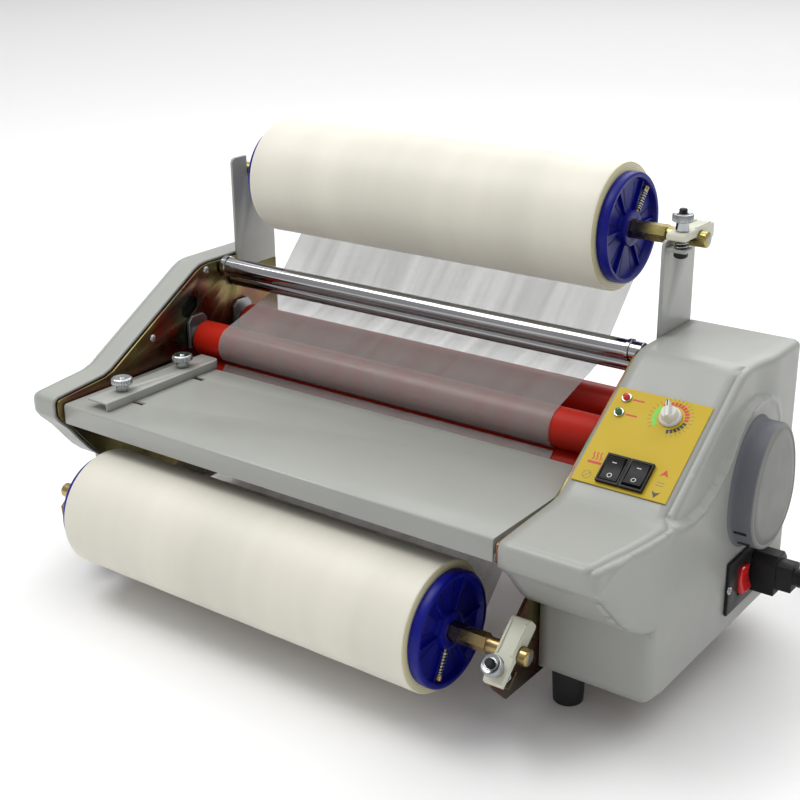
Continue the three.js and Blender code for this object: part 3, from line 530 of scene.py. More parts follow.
def above_rim(y, z):
    """True outside the bead, on the side of the slope and the plateau."""
    for (y0, z0), (y1, z1) in zip(RIM, RIM[1:]):
        if y0 <= y <= y1:
            return z > z0 + (z1 - z0) * (y - y0) / (y1 - y0)
    return y > RIM[-1][0]


def rounded(edge, fillet):
    """How far a face falls back at that distance from its edge."""
    return fillet - sqrt(max(0.0, fillet**2 - (fillet - edge) ** 2)) if edge < fillet else 0


def right_face(y, z, outline):
    """The x of the right cover's side face at (y, z)."""
    edge = distance_to(outline, y, z, closed=True)
    x = plan_edge(y)
    rim = distance_to(RIM, y, z)
    if above_rim(y, z):
        x -= TROUGH * smooth((rim - 0.6) / 3.2) * smooth((y + 186) / 22) * smooth((-8 - y) / 34)
    x += 0.9 * exp(-((rim / 1.9) ** 2)) * smooth((y + 232) / 12)
    return x - rounded(edge, 5.0)


def left_face(y, z, outline):
    return -70.0 + rounded(distance_to(outline, y, z, closed=True), 6.0)


def cap(outline, face, step, extra=()):
    """Points and triangles of a cover's side: its outline, rows close to the edge and a grid inside."""
    loop = even_loop(outline, step)
    ring = list(range(len(loop)))
    points = [Vector(p) for p in loop]
    ys, zs = [p[0] for p in outline], [p[1] for p in outline]
    y = min(ys) + step / 2
    row = 0
    while y < max(ys):
        z = min(zs) + step / 2 + (step / 2 if row % 2 else 0)
        while z < max(zs):
            if inside(outline, y, z) and distance_to(outline, y, z, closed=True) > step * 0.6:
                points.append(Vector((y, z)))
            z += step
        y += step * 0.87
        row += 1
    for y, z in extra:
        if inside(outline, y, z) and distance_to(outline, y, z, closed=True) > 0.8:
            points.append(Vector((y, z)))
    edges = [(i, (i + 1) % len(ring)) for i in ring]
    verts, _, faces, *_ = delaunay_2d_cdt(points, edges, [], 1, 0.05)
    return [(face(v.x, v.y, outline), v.x, v.y) for v in verts], [tuple(f) for f in faces], loop


def rows_along(line, offsets, step):
    """Extra points beside a line, so a bead along it is drawn evenly."""
    out = []
    for (y0, z0), (y1, z1) in zip(line, line[1:]):
        length = hypot(y1 - y0, z1 - z0)
        ny, nz = -(z1 - z0) / length, (y1 - y0) / length
        n = max(1, round(length / step))
        for k in range(n):
            y, z = y0 + (y1 - y0) * k / n, z0 + (z1 - z0) * k / n
            out += [(y + ny * o, z + nz * o) for o in offsets]
    return out


def edge_rows(outline, offsets, step):
    """Rows just inside the outline, for the round of the edge."""
    out = []
    for i, (y0, z0) in enumerate(outline):
        y1, z1 = outline[(i + 1) % len(outline)]
        length = hypot(y1 - y0, z1 - z0)
        n = max(1, round(length / step))
        for sign in (1, -1):
            ny, nz = -(z1 - z0) / length * sign, (y1 - y0) / length * sign
            for k in range(n):
                y, z = y0 + (y1 - y0) * (k + 0.5) / n, z0 + (z1 - z0) * (k + 0.5) / n
                out += [(y + ny * o, z + nz * o) for o in offsets]
    return out


def cover(name, outline, face, inner_x, extra, replaced):
    """One side cover: the side face and the wrap round its outline, open below."""
    verts, faces, loop = cap(outline, face, 4.0, extra)
    base = len(verts)
    rows = 10
    for i in range(rows + 1):
        for y, z in loop:
            start = face(y, z, outline)
            verts.append((start + (inner_x - start) * i / rows, y, z))
    for ring in ring_faces(rows + 1, len(loop)):
        if max(verts[base + v][2] for v in ring) > 32.01:
            faces.append(tuple(base + v for v in ring))
    piece = new_piece(name, verts, faces, PAINT, "machine", replaced, sharp=50)
    outwards = sum(f.normal.x * f.area for f in piece.data.polygons) * (face(-100, 100, outline) - inner_x)
    if outwards < 0:
        piece.data.flip_normals()
    solid = piece.modifiers.new("wall", "SOLIDIFY")
    solid.thickness = COVER_WALL * MM
    solid.offset = -1
    return piece


def side_covers():
    edges = (0.5, 1.2, 2.2, 3.6, 5.2)
    extra = rows_along(RIM, (-9, -7, -5.5, -4, -2.8, -1.4, 0, 1.4, 2.8, 4, 5.5, 7, 9), 2.2)
    extra += edge_rows(RIGHT_OUTLINE, edges, 3)
    cover("right_cover_skin", RIGHT_OUTLINE, right_face, 366.2, extra, ("right_cover",))
    cover("left_cover_skin", LEFT_OUTLINE, left_face, -42.8, edge_rows(LEFT_OUTLINE, edges, 3), ("left_cover",))


def motor_boss():
    """The round housing over the gear motor: a dark wall, its colour painted shade, and a painted end face with a fine
    groove.
    """
    rings = [(3.2, 448.6), (2.4, 450.2), (1.2, 450.6), (0.5, 451.6), (0.2, 453.5), (0, 457), (0, 465), (-0.3, 466.1),
             (-0.9, 466.8), (-1.8, 467), (-2.7, 467), (-3.1, 466.6), (-3.6, 466.6), (-4, 467), (-9, 467.1),
             (-20, 467.3), (-30, 467.4)]
    count, points = 144, []
    for gap, x in rings:
        for i in range(count):
            a = 2 * pi * i / count
            top = BOSS.top if sin(a) > 0 else BOSS.radius
            points.append((x, BOSS.y + (BOSS.radius + gap) * cos(a), BOSS.z + (top + gap) * sin(a)))
    faces = ring_faces(len(rings), count) + [tuple(range((len(rings) - 1) * count, len(rings) * count))]
    piece = new_piece("motor_boss", points, faces, BOSS_FACE, "machine", ("right_cover",), sharp=50)
    piece.data.materials.append(BOSS_WALL_SHADE)
    # The wall's faces take the second material, the painted-shade colour.
    for polygon in piece.data.polygons:
        if at(450.4, 0, 0).x < polygon.center.x < at(466.0, 0, 0).x:
            polygon.material_index = 1


side_covers()
motor_boss()


# ---- film rolls
def hexagonal(across_flats, below):
    """A change of radius that turns the circles under a radius into hexagons."""
    def change(angle, radius):
        if radius > below:
            return 0
        return across_flats / 2 / cos(angle % (pi / 3) - pi / 6) - radius
    return change


def film_roll(roll):
    y, z, r = roll.y, roll.z, roll.radius
    inner, length = 38.1, FILM_LENGTH
    profile = [(0, inner), (0, r - 1), (0.3, r - 0.35), (1, r - 0.05), (2, r)]
    profile += [(length * i / 20, r - 0.12 * abs(sin(i * 2.1))) for i in range(1, 20)]
    profile += [(length - 2, r), (length - 1, r - 0.05), (length - 0.3, r - 0.35), (length, r - 1), (length, inner)]
    film = turned(roll.name + "_film_skin", profile, (0, y, z), FILM, roll.body, (roll.name + "_film",),
                  segments=160, closed=True)
    film.data.materials.append(film_edge(roll.name + "_film_edge", roll))
    for face in film.data.polygons:
        if abs(face.normal.x) > 0.7:
            face.material_index = 1


HUB_PROFILE = [
    (-22, 34.6), (-22, 37.2), (-21.6, 37.6), (-0.2, 37.6), (0, 37.8), (0.2, 39.9), (0.5, 40.4), (1, 40.5),
    (6.4, 40.5), (7.3, 40.2), (7.9, 39.5), (8, 38.6), (8, 37.8), (7.7, 36.7), (7, 36.2), (4, 35.8), (3.3, 35.4),
    (3, 34.6), (3, 14.2), (3.3, 13.4), (4, 13), (7, 13), (7.7, 12.7), (8, 12), (8, 8.2), (7.4, 6.3), (-21.6, 6.3),
    (-22, 6.6), (-22, 12.6), (-21.6, 13), (-1, 13), (-1, 34.6),
]


def hub_web(points, faces, flip, x, roll, angle, half, reach, heights):
    """One radial bar on the hub's dish, from the boss to the rim."""
    base = len(points)
    c, s = cos(angle), sin(angle)
    for out in heights:
        for across in (-half, half):
            for radius in reach:
                points.append((x + flip * out, roll.y + radius * c - across * s, roll.z + radius * s + across * c))
    faces += [tuple(base + i for i in f) for f in (
        (0, 1, 3, 2), (4, 6, 7, 5), (0, 4, 5, 1), (2, 3, 7, 6), (0, 2, 6, 4), (1, 5, 7, 3))]


def hubs(roll):
    for side, x, flip in (("left", -0.3, -1), ("right", FILM_LENGTH + 0.3, 1)):
        profile = [(flip * a, r) for a, r in HUB_PROFILE]
        stem = roll.name + "_hub_" + side
        turned(stem + "_skin", profile, (x, roll.y, roll.z), BLUE, roll.body, (stem,), segments=120,
               closed=True, wobble=hexagonal(12.6, 8.1))
        for kind, material, half, reach, heights, count in (
            ("_ribs", BLUE, 0.7, (12, 36.4), (2, 5.4), 6),
            # The slots are thin raised bars in near-black blue, painted shade standing in for grooves in the dish.
            ("_slots", HUB_SLOT_SHADE, 0.9, (15, 34), (2.5, 3.06), 12),
        ):
            points, faces = [], []
            for i in range(count):
                angle = radians(360 / count * i + (15 if kind == "_slots" else 0))
                hub_web(points, faces, flip, x, roll, angle, half, reach, heights)
            piece = new_piece(stem + kind, points, faces, material, roll.body)
            bevelled(piece, 0.35)


def helix(name, centre, radius, wire, start, end, turns, material, body, axis="z", replaced=(), per_turn=28):
    """A wire spring: a round wire along a helix, its end turns laid flat."""
    steps = int(turns * per_turn)
    path = []
    for i in range(steps + 1):
        t = i / steps
        rise = smooth((t * turns - 0.6) / (turns - 1.2)) * 0.35 + 0.65 * max(0, min(1, (t * turns - 0.5) / (turns - 1)))
        angle = 2 * pi * turns * t
        along = start + wire + (end - start - 2 * wire) * rise
        path.append(Vector((radius * cos(angle), radius * sin(angle), along)))
    points, count = [], 10
    for i, p in enumerate(path):
        tangent = (path[min(i + 1, steps)] - path[max(i - 1, 0)]).normalized()
        out = Vector((p.x, p.y, 0)).normalized()
        side = tangent.cross(out).normalized()
        for j in range(count):
            a = 2 * pi * j / count
            q = p + wire * (cos(a) * out + sin(a) * side)
            place = (q.z, q.x, q.y) if axis == "x" else (q.x, q.y, q.z)
            points.append(tuple(c + v for c, v in zip(centre, place)))
    faces = ring_faces(steps + 1, count)
    faces += [tuple(range(count)), tuple(range(steps * count, (steps + 1) * count))]
    return new_piece(name, points, faces, material, body, replaced)


for film in (TOP, BOTTOM):
    film_roll(film)
    hubs(film)


def core_catches():
    """A sprung pin lies along each right-hand hub's dish and grips the film's core."""
    for roll in (BOTTOM, TOP):
        turn = about((0, roll.y, roll.z), radians(-205.5 if roll is BOTTOM else -40), "X")
        x, name = 325.9, roll.name
        coil = helix(name + "_catch_spring", (x, roll.y, roll.z), 2.0, 0.45, 15, 31, 9, BRIGHT, None, per_turn=20)
        profile = [(12, 0), (12, 1.1), (30.6, 1.1), (30.9, 2.3), (33.8, 2.4), (34.4, 1.9), (34.4, 0)]
        pin = turned(name + "_catch_pin", profile, (x, roll.y, roll.z), ZINC_BAR, None, segments=36, axis="z")
        for piece in (coil, pin):
            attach(moved(piece, turn), roll.body)


core_catches()


# ---- rollers and bars
def sleeve(name, y, z):
    a, b, r = ROLLER.left, ROLLER.right, ROLLER.radius
    profile = [(a, 11.4), (a, r - 0.8), (a + 0.25, r - 0.25), (a + 0.8, r), (b - 0.8, r), (b - 0.25, r - 0.25),
               (b, r - 0.8), (b, 11.4)]
    turned(name + "_sleeve_skin", profile, (0, y, z), SILICONE, name + "_roller", (name + "_sleeve",), closed=True)


for place, y in (("front", ROLLER.front), ("rear", ROLLER.rear)):
    for level, z in (("lower", ROLLER.low), ("upper", ROLLER.high)):
        sleeve(place + "_" + level, y, z)
        dress(place + "_" + level + "_shaft", STEEL)


def bearings():
    """Bushes at both ends of each roller, and the blocks that carry the two upper ones."""
    for place, y in (("front", ROLLER.front), ("rear", ROLLER.rear)):
        for level, z in (("lower", ROLLER.low), ("upper", ROLLER.high)):
            body = "pressure_carriage" if level == "upper" else "machine"
            for side, x0, x1 in (("left", -39.7, -31.2), ("right", 354, 362.7)):
                ring = [(x0, 6.4), (x0, 9.2), (x0 + 0.5, 9.7), (x1 - 3, 9.7), (x1 - 2.6, 8.6), (x1 - 0.4, 8.6),
                        (x1, 8.2), (x1, 6.4)]
                turned("%s_%s_bush_%s" % (place, level, side), ring, (0, y, z), STEEL, body, segments=64, closed=True)
                if level == "upper":
                    out = [(y - 11, z - 9), (y + 11, z - 9), (y + 11, z + 14), (y + 7, z + 19), (y - 7, z + 19),
                           (y - 11, z + 14)]
                    depth = (x0, x0 + 3.4) if side == "left" else (x1 - 3.4, x1)
                    prism_x("%s_block_%s" % (place, side), out, *depth, MOTOR, body, bevel=0.8)


bearings()


def bar(name, y, z, profile, body):
    turned(name + "_skin", profile, (0, y, z), CHROME, body, (name,), segments=72)


BIG, SLIM = UPPER_BAR.radius, LOWER_BAR.radius
bar("upper_guide_bar", UPPER_BAR.y, UPPER_BAR.z, [
    (-43.5, 0), (-43.5, 3.6), (-43.1, 4), (-39, 4), (-39, BIG + 0.7), (-38.6, BIG + 1.1), (-34.4, BIG + 1.1),
    (-34, BIG + 0.7), (-34, BIG), (350, BIG), (350, BIG + 0.7), (350.3, BIG + 1.1), (352.7, BIG + 1.1),
    (353, BIG + 0.7), (353, BIG), (361.6, BIG), (362, BIG - 0.4), (362, 4), (366, 4), (366.3, 3.6), (366.3, 0),
], "upper_bar")
bar("lower_guide_bar", LOWER_BAR.y, LOWER_BAR.z, [
    (-43.5, 0), (-43.5, 3.6), (-43.1, 4), (-39, 4), (-39, SLIM - 0.4), (-38.6, SLIM), (361.6, SLIM),
    (362, SLIM - 0.4), (362, 4), (366, 4), (366.3, 3.6), (366.3, 0),
], "lower_bar")


# ---- threaded film
def ribbon(name, path, thickness, rows, body):
    """A film sheet along a (y, z) path, drawn in several strips across its width."""
    points = []
    for side in (0.5, -0.5):
        for i, (y, z) in enumerate(path):
            a, b = path[max(0, i - 1)], path[min(len(path) - 1, i + 1)]
            reach = side * thickness / hypot(b[0] - a[0], b[1] - a[1])
            for k in range(rows + 1):
                x = 1 + (FILM_LENGTH - 2) * k / rows
                points.append((x, y - (b[1] - a[1]) * reach, z + (b[0] - a[0]) * reach))
    n, w = len(path), rows + 1
    faces = ring_faces(n, w, closed=False)
    faces += [tuple(n * w + v for v in reversed(f)) for f in ring_faces(n, w, closed=False)]
    for i in range(n - 1):
        for k in (0, rows):
            faces.append((i * w + k, (i + 1) * w + k, n * w + (i + 1) * w + k, n * w + i * w + k))
    for i in (0, n - 1):
        for k in range(rows):
            faces.append((i * w + k, i * w + k + 1, n * w + i * w + k + 1, n * w + i * w + k))
    return new_piece(name, points, faces, WEB, body, (name.replace("_sheet", ""),), sharp=60)


def straight(a, b, steps):
    return [(a[0] + (b[0] - a[0]) * i / steps, a[1] + (b[1] - a[1]) * i / steps) for i in range(1, steps)]


def threaded_film():
    off = 0.8
    first = arc(TOP.y, TOP.z, TOP.radius + off, -34, -43.6, 6)
    second = arc(LOWER_BAR.y, LOWER_BAR.z, SLIM + off, -43.6, -73.1, 8)
    third = arc(ROLLER.front, ROLLER.high, ROLLER.radius + off, 106.9, 254, 36)
    path = first + straight(first[-1], second[0], 16) + second + straight(second[-1], third[0], 16) + third
    upper = ribbon("upper_film_web_sheet", path, 0.3, 12, None)
    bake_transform(upper)
    start = arc(BOTTOM.y, BOTTOM.z, BOTTOM.radius + off, -53.6, -43.6, 6)
    ribbon("lower_film_web_sheet", start + straight(start[-1], (-88, 145.2), 24) + [(-88, 145.2)], 0.3, 12, "machine")


threaded_film()


# ---- sheet metal, table and guide
def sheet_metal():
    for node in ("left_side_plate", "right_side_plate"):
        # The plates take the zinc darkened as painted shade.
        dress(node, PLATE_ZINC_SHADE, 0.3)
    for node in ("left_roll_bracket", "right_roll_bracket", "rear_cross_panel", "feed_table", "paper_guide"):
        dress(node, SHEET_PAINT, 0.35)
        NODES[node].modifiers["bevel"].angle_limit = radians(38)
    for node in ("left_pressure_frame", "right_pressure_frame", "drive_gear"):
        dress(node, STEEL, 0.2)
    dress("gear_motor", MOTOR, 0.4)
    for side, x in (("left", -50), ("right", 371)):
        coil = helix(side + "_pressure_spring_wire", (x, -58, 0), 4, 0.9, 185.3, 202.7, 4, SPRING, "machine",
                     replaced=(side + "_pressure_spring",))
        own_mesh(coil)


def knurled(count, depth, above):
    def change(angle, radius):
        return depth * (abs(sin(count * angle / 2)) - 1) if radius > above else 0
    return change


def thread(start, end, outer, depth, pitch):
    out = []
    for i in range(round((end - start) / pitch)):
        out += [(start + i * pitch, outer), (start + (i + 0.5) * pitch, outer - depth)]
    return out + [(end, outer)]


def guide_screws():
    for node, y in (("guide_screw_front", -194), ("guide_screw_rear", -128)):
        shank = thread(-12.6, 0, 1.95, 0.25, 0.8)
        profile = [(-13, 0), (-13, 1.6), *shank, (0.3, 1.9), (0.3, 5.0), (0.7, 5.2), (4.8, 4.8), (5.1, 5.6), (5.4, 7.8),
                   (6, 8.4), (9.4, 8.4), (10.2, 7.8), (10.7, 6.6), (10.5, 5.4), (10.4, 2.4), (11, 1.8), (11.2, 0)]
        turned(node + "_turned", profile, (-9, y, 153), BRIGHT, node, (node,), segments=144, axis="z",
               wobble=knurled(40, 0.4, 7.7))


def feet():
    for side, x in (("left", -55.2), ("right", 378.5)):
        for end, y in (("front", -158 if side == "left" else -160), ("rear", 4)):
            profile = [(0.4, 0), (0.4, 3), (1.8, 3.4), (1.8, 6.4), (0.2, 7), (0, 8), (0, 9.6), (0.5, 10.2), (1.4, 10.5),
                       (28, 11.8), (29.6, 11.9), (30.6, 11.6), (31.5, 10.8), (31.6, 0)]
            turned("foot_" + end + "_" + side + "_moulding", profile, (x, y, 0), RUBBER, "machine",
                   ("foot_" + end + "_" + side,), segments=72, axis="z")


def small_fixings():
    """Pan-head screws on the inner faces of the side plates, and the vents in the boss's front wall as near-black
    boxes, painted shade for their openings.
    """
    head = [(0, 0), (0, 2.9), (0.5, 3.1), (1.2, 2.8), (1.8, 1.9), (2.0, 1.0), (1.5, 0.9), (1.4, 0)]
    for side, x, sign in (("left", -40, 1), ("right", 363, -1)):
        for i, (y, z) in enumerate(((-63.7, 214.6), (-130, 172), (6, 150), (6, 60))):
            if side == "right" and i < 2:
                continue
            turned("%s_plate_screw_%d" % (side, i), [(sign * a, r) for a, r in head], (x, y, z), BRIGHT, "machine",
                   segments=36)
    # Each vent is a near-black box on the wall, painted shade rather than an opening.
    for i, z in enumerate((115, 104)):
        y = BOSS.y - sqrt(BOSS.radius ** 2 - (BOSS.z - z) ** 2)
        slot = [(y - 1.0, z - 0.8), (y + 1.5, z - 0.8), (y + 1.5, z + 0.8), (y - 1.0, z + 0.8)]
        prism_x("boss_vent_%d" % i, slot, 453.5, 462.5, VENT_SHADE, "machine", bevel=0.3)


sheet_metal()
small_fixings()
guide_screws()
feet()


# ---- roll shafts and brakes
def roll_shaft(roll):
    """The mandrel: a hexagon bar with a round journal at each end."""
    def ring(x, r, across=0):
        out = []
        for i in range(48):
            a = 2 * pi * i / 48
            radius = r + hexagonal(across, 99)(a, r) if across else r
            out.append((x, roll.y + radius * cos(a), roll.z + radius * sin(a)))
        return out
    left_end = ((-52, 0.01), (-52, 3.8), (-51.4, 4.6), (-50, JOURNAL), (-32, JOURNAL - 0.3))
    right_end = ((356, JOURNAL - 0.3), (357, JOURNAL), (386, JOURNAL), (386.6, 5.2), (387, 4.2), (387, 2.2),
                 (386.2, 1.4), (386, 0.01))
    rings = [ring(*end) for end in left_end] + [ring(-32, 6.6, 11.2), ring(-31.5, 6.6, 12)]
    rings += [ring(-31.5 + 387 * i / 30, 6.6, 12) for i in range(1, 31)]
    rings += [ring(356, 6.6, 11.2)] + [ring(*end) for end in right_end]
    points = [p for r in rings for p in r]
    stem = roll.name + "_roll_shaft"
    new_piece(stem + "_bar", points, ring_faces(len(rings), 48), ZINC_BAR, roll.body, (stem,))
    disc = [(387.02, 0), (387.1, 1.2), (387.1, 3.2), (386.9, 3.6), (386.4, 3.7), (386.4, 0)]
    turned(stem + "_end", disc, (0, roll.y, roll.z), STEEL, roll.body, segments=48)


def brake(roll):
    x, y = BRAKE.x, BRAKE.y
    centre = (0, roll.y, roll.z)
    turn = about(centre, radians(roll.turn), "X")
    name = roll.name

    pivot = (x, roll.y + y, roll.z)
    front, rear, top = BRAKE.front, BRAKE.rear, BRAKE.top
    lever = [(front + 0.6, 2.5), (-6.8, 2.5), *arc(0, 0, JOURNAL + 0.3, 165, 5, 30), (7, -3), (rear - 1.5, -3),
             (rear, -1.5), (rear, top - 2.5), (rear - 0.8, top - 0.8), (rear - 2.5, top), (front + 2.5, top),
             (front + 0.7, top - 0.7), (front, top - 2), (front, 3.1)]
    lever = [(roll.y + u, roll.z + v) for u, v in lever]
    clamp = prism_x(name + "_brake_lever", lever, BRAKE.left, BRAKE.right, NYLON, None,
                    (name + "_brake_clamp",), bevel=0.6)
    # Two moulded ribs along the lever's back, behind the thumb nut.
    points, faces = [], []
    for x0, x1 in ((BRAKE.left + 0.8, BRAKE.left + 2.4), (BRAKE.right - 2.4, BRAKE.right - 0.8)):
        base = len(points)
        shape = [(-6, top - 0.3), (-4.5, top + 1.1), (rear - 4.5, top + 1.1), (rear - 3, top - 0.3)]
        points += [(x0, roll.y + u, roll.z + v) for u, v in shape]
        points += [(x1, roll.y + u, roll.z + v) for u, v in shape]
        faces += prism_faces(4, base)
    ribs = bevelled(new_piece(name + "_brake_ribs", points, faces, NYLON, None), 0.4)
    shank = thread(-6.4, 23.2, 3.0, 0.35, 1.0)
    profile = [(-11, 0), (-11, 3.4), (-10.6, 4.2), (-9.9, 4.8), (-9.2, 5), (-6.9, 5), (-6.8, 3), *shank, (24, 2.2),
               (24, 0)]
    bolt = turned(name + "_brake_bolt", profile, pivot, BLACK, None, segments=48, axis="z")
    coil = helix(name + "_brake_coil", pivot, 4.4, 0.6, -3.7, 2.2, 3.2, BRIGHT, None,
                 replaced=(name + "_brake_spring",), per_turn=40)
    nut = turned(name + "_brake_thumb_nut", [
        (8.3, 3.3), (8.3, 4.4), (8.6, 4.7), (9.2, 4.8), (14.2, 4.3), (14.9, 4.6), (15, 6.8), (15.5, 7.4), (19.4, 7.4),
        (20.2, 7.1), (20.5, 6.3), (20.1, 5.4), (20.0, 4.4), (20.6, 4.1), (20.6, 3.3),
    ], pivot, BRIGHT, None, (name + "_brake_nut",), segments=180, axis="z", wobble=knurled(44, 0.35, 6.7),
        closed=True)
    for piece in (clamp, ribs, bolt, coil):
        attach(moved(piece, turn), "machine")
    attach(moved(nut, turn), name + "_nut")


for film in (TOP, BOTTOM):
    roll_shaft(film)
    brake(film)


# ---- control panel on the slope
def slope(x, up, out):
    c, s = cos(SLOPE_ANGLE), sin(SLOPE_ANGLE)
    return (x, SLOPE_LOW[0] + up * c - out * s, SLOPE_LOW[1] + up * s + out * c)


def on_slope(name, points, faces, material, body, replaced=(), sharp=35, centre=(0, 0), turned_by=0):
    """A piece from points (across, up, out) about a centre on the slope, turned about its normal."""
    c, s = cos(radians(turned_by)), sin(radians(turned_by))
    placed = [slope(centre[0] + x * c - u * s, centre[1] + x * s + u * c, out) for x, u, out in points]
    return new_piece(name, placed, faces, material, body, replaced, sharp)


def turned_on_slope(name, profile, material, body, centre, replaced=(), segments=72, wobble=None, turned_by=0):
    points = []
    for out, radius in profile:
        for j in range(segments):
            a = 2 * pi * j / segments
            r = radius + (wobble(a, radius) if wobble else 0)
            points.append((r * cos(a), r * sin(a), out))
    return on_slope(name, points, ring_faces(len(profile), segments), material, body, replaced, centre=centre,
                    turned_by=turned_by)


def printed(name, shapes, material, centre=(0, 0), face=1.3):
    """Ink on the panel: flat outlines (across, up) drawn 0.06 mm thick."""
    points, faces = [], []
    for shape in shapes:
        base, n = len(points), len(shape)
        for out in (face + 0.01, face + 0.07):
            points += [(u, v, out) for u, v in shape]
        faces += prism_faces(n, base)
    return on_slope(name, points, faces, material, "machine", centre=centre)


def bar_shape(x0, y0, x1, y1, width):
    length = hypot(x1 - x0, y1 - y0)
    nx, ny = -(y1 - y0) / length * width / 2, (x1 - x0) / length * width / 2
    return [(x0 + nx, y0 + ny), (x1 + nx, y1 + ny), (x1 - nx, y1 - ny), (x0 - nx, y0 - ny)]


def band_shape(path, width):
    left, right = [], []
    for i, (u, v) in enumerate(path):
        a, b = path[max(0, i - 1)], path[min(len(path) - 1, i + 1)]
        reach = width / 2 / hypot(b[0] - a[0], b[1] - a[1])
        left.append((u - (b[1] - a[1]) * reach, v + (b[0] - a[0]) * reach))
        right.append((u + (b[1] - a[1]) * reach, v - (b[0] - a[0]) * reach))
    return left + right[::-1]


def spokes(start, end, step, inner, outer, width):
    out = []
    angle = start
    while angle <= end + 0.01:
        c, s = cos(radians(angle)), sin(radians(angle))
        out.append(bar_shape(inner * c, inner * s, outer * c, outer * s, width))
        angle += step
    return out


def panel_print():
    dial = (KNOB.x, KNOB.up)
    printed("dial_green_marks", spokes(150, 222, 12, 9.6, 12.6, 1.9), GREEN_PRINT, dial)
    printed("dial_red_marks", spokes(2, 132, 13, 9.6, 12.6, 1.9), RED_PRINT, dial)
    printed("dial_black_marks", spokes(-78, -11, 13, 9.6, 12.6, 1.9), BLACK_PRINT, dial)
    printed("dial_fine_marks", spokes(-78, 222, 12, 13.2, 15.8, 0.5), OLIVE_PRINT, dial)
    waves = []
    for k in range(3):
        path = [(375.3 + 2.6 * k + 0.6 * sin(i / 12 * 2 * pi), 25.6 + i * 0.5) for i in range(13)]
        waves.append(band_shape(path, 0.9))
    waves.append(bar_shape(373, 23.4, 383, 23.4, 1.9))
    printed("heat_mark", waves, RED_PRINT)
    circle = [band_shape([(377 + 3 * cos(i * pi / 24), 13.4 + 3 * sin(i * pi / 24))
                          for i in range(48 + 1)], 0.5)]
    circle.append(bar_shape(374.9, 11.3, 379.1, 15.5, 0.5))
    printed("heat_off_mark", circle, OLIVE_PRINT)
    printed("forward_mark", [[(427, 31.4), (430, 26), (427, 27.4), (424, 26)]], RED_PRINT)
    printed("reverse_mark", [[(427, 9.4), (424, 14.2), (427, 13), (430, 14.2)]], BLACK_PRINT)
    printed("stop_mark", [bar_shape(424.4, 19, 429.8, 19, 0.7), bar_shape(424.4, 21.2, 429.8, 21.2, 0.7)], OLIVE_PRINT)
    printed("lamp_marks", [bar_shape(381.5, 77.3, 390, 77.3, 1.3), bar_shape(381.5, 64.8, 390, 64.8, 1.3)], RED_PRINT)


def knob():
    centre = (KNOB.x, KNOB.up)
    profile = [(-6, 0), (-6, 2.9), (1.6, 2.9), (1.6, 7.5), (1.9, 7.8), (2.6, 7.8), (3.9, 7.3), (4.2, 6.9), (4.4, 6.2),
               (8.6, 5.2), (9.0, 4.8), (9.1, 0)]
    turned_on_slope("dial_knob_skirt", profile, GREY, "dial", centre, ("dial_knob",),
                    wobble=lambda a, r: 0.12 * (abs(sin(12 * a)) - 1) if r > 7.2 else 0, segments=144)
    points = []
    for out, wide in ((3.6, 1.9), (9, 1.8), (12.2, 1.5), (13, 1.0)):
        reach = 7.0 - (out - 3.6) * 0.06
        shape = [(-wide, -reach + 0.8), (-wide * 0.5, -reach), (wide * 0.5, -reach), (wide, -reach + 0.8),
                 (wide, reach - 1.4), (wide * 0.5, reach), (-wide * 0.5, reach), (-wide, reach - 1.4)]
        points += [(u, v, out) for u, v in shape]
    faces = ring_faces(4, 8) + [tuple(range(8)), tuple(range(31, 23, -1))]
    wing = on_slope("dial_knob_wing", points, faces, GREY, "dial", centre=centre, turned_by=KNOB.turned)
    bevelled(wing, 0.35)
    on_slope("dial_knob_line", [(u, v, out) for out in (12.95, 13.06) for u, v in (
        (-0.4, 1.5), (0.4, 1.5), (0.4, 6.6), (-0.4, 6.6))],
        prism_faces(4), BLACK_PRINT, "dial", centre=centre, turned_by=KNOB.turned)


def lamps():
    for name, lens, up in (("red", RED_LENS, 77.3), ("green", GREEN_LENS, 64.8)):
        x = 376.8 if name == "red" else 376.7
        dome = [(-8, 0), (-8, 2.1), (1.6, 2.1), (1.6, 2.5), (2.2, 2.5)]
        dome += [(2.7 + 3.5 * sin(radians(a)), max(0.01, 2.45 * cos(radians(a)))) for a in range(0, 91, 9)]
        turned_on_slope(name + "_lamp_dome", dome, lens, "machine", (x, up), (name + "_lamp",))
        collar = [(1.31, 2.6), (1.31, 3.4), (1.6, 3.6), (2.3, 3.5), (2.6, 3.2), (2.6, 2.6), (1.31, 2.6)]
        turned_on_slope(name + "_lamp_collar", collar, BRIGHT, "machine", (x, up))


def rocker(name, x, tip, material):
    """A rocker with a hollowed face; its two halves meet on the hinge line."""
    section = [(-6.7, -2.5), (6.7, -2.5), (8.7, 2), (8.35, 4.6), (8.2, 5.4)]
    section += [(8.2 - 16.4 * i / 20, 5.4 - 1.5 * sin(pi * i / 20) ** 0.8) for i in range(1, 20)]
    section += [(-8.2, 5.4), (-8.35, 4.6), (-8.7, 2)]
    c, s = cos(radians(tip)), sin(radians(tip))
    points = []
    for across in (-6.4, 6.4):
        points += [(across, u * c - v * s, u * s + v * c + PIVOT_OUT) for u, v in section]
    body = name.replace("_rocker", "_switch")
    piece = on_slope(name + "_button", points, prism_faces(len(section)), material, body, (name,), sharp=25,
                     centre=(x, SWITCH_UP))
    return bevelled(piece, 0.4, 3)


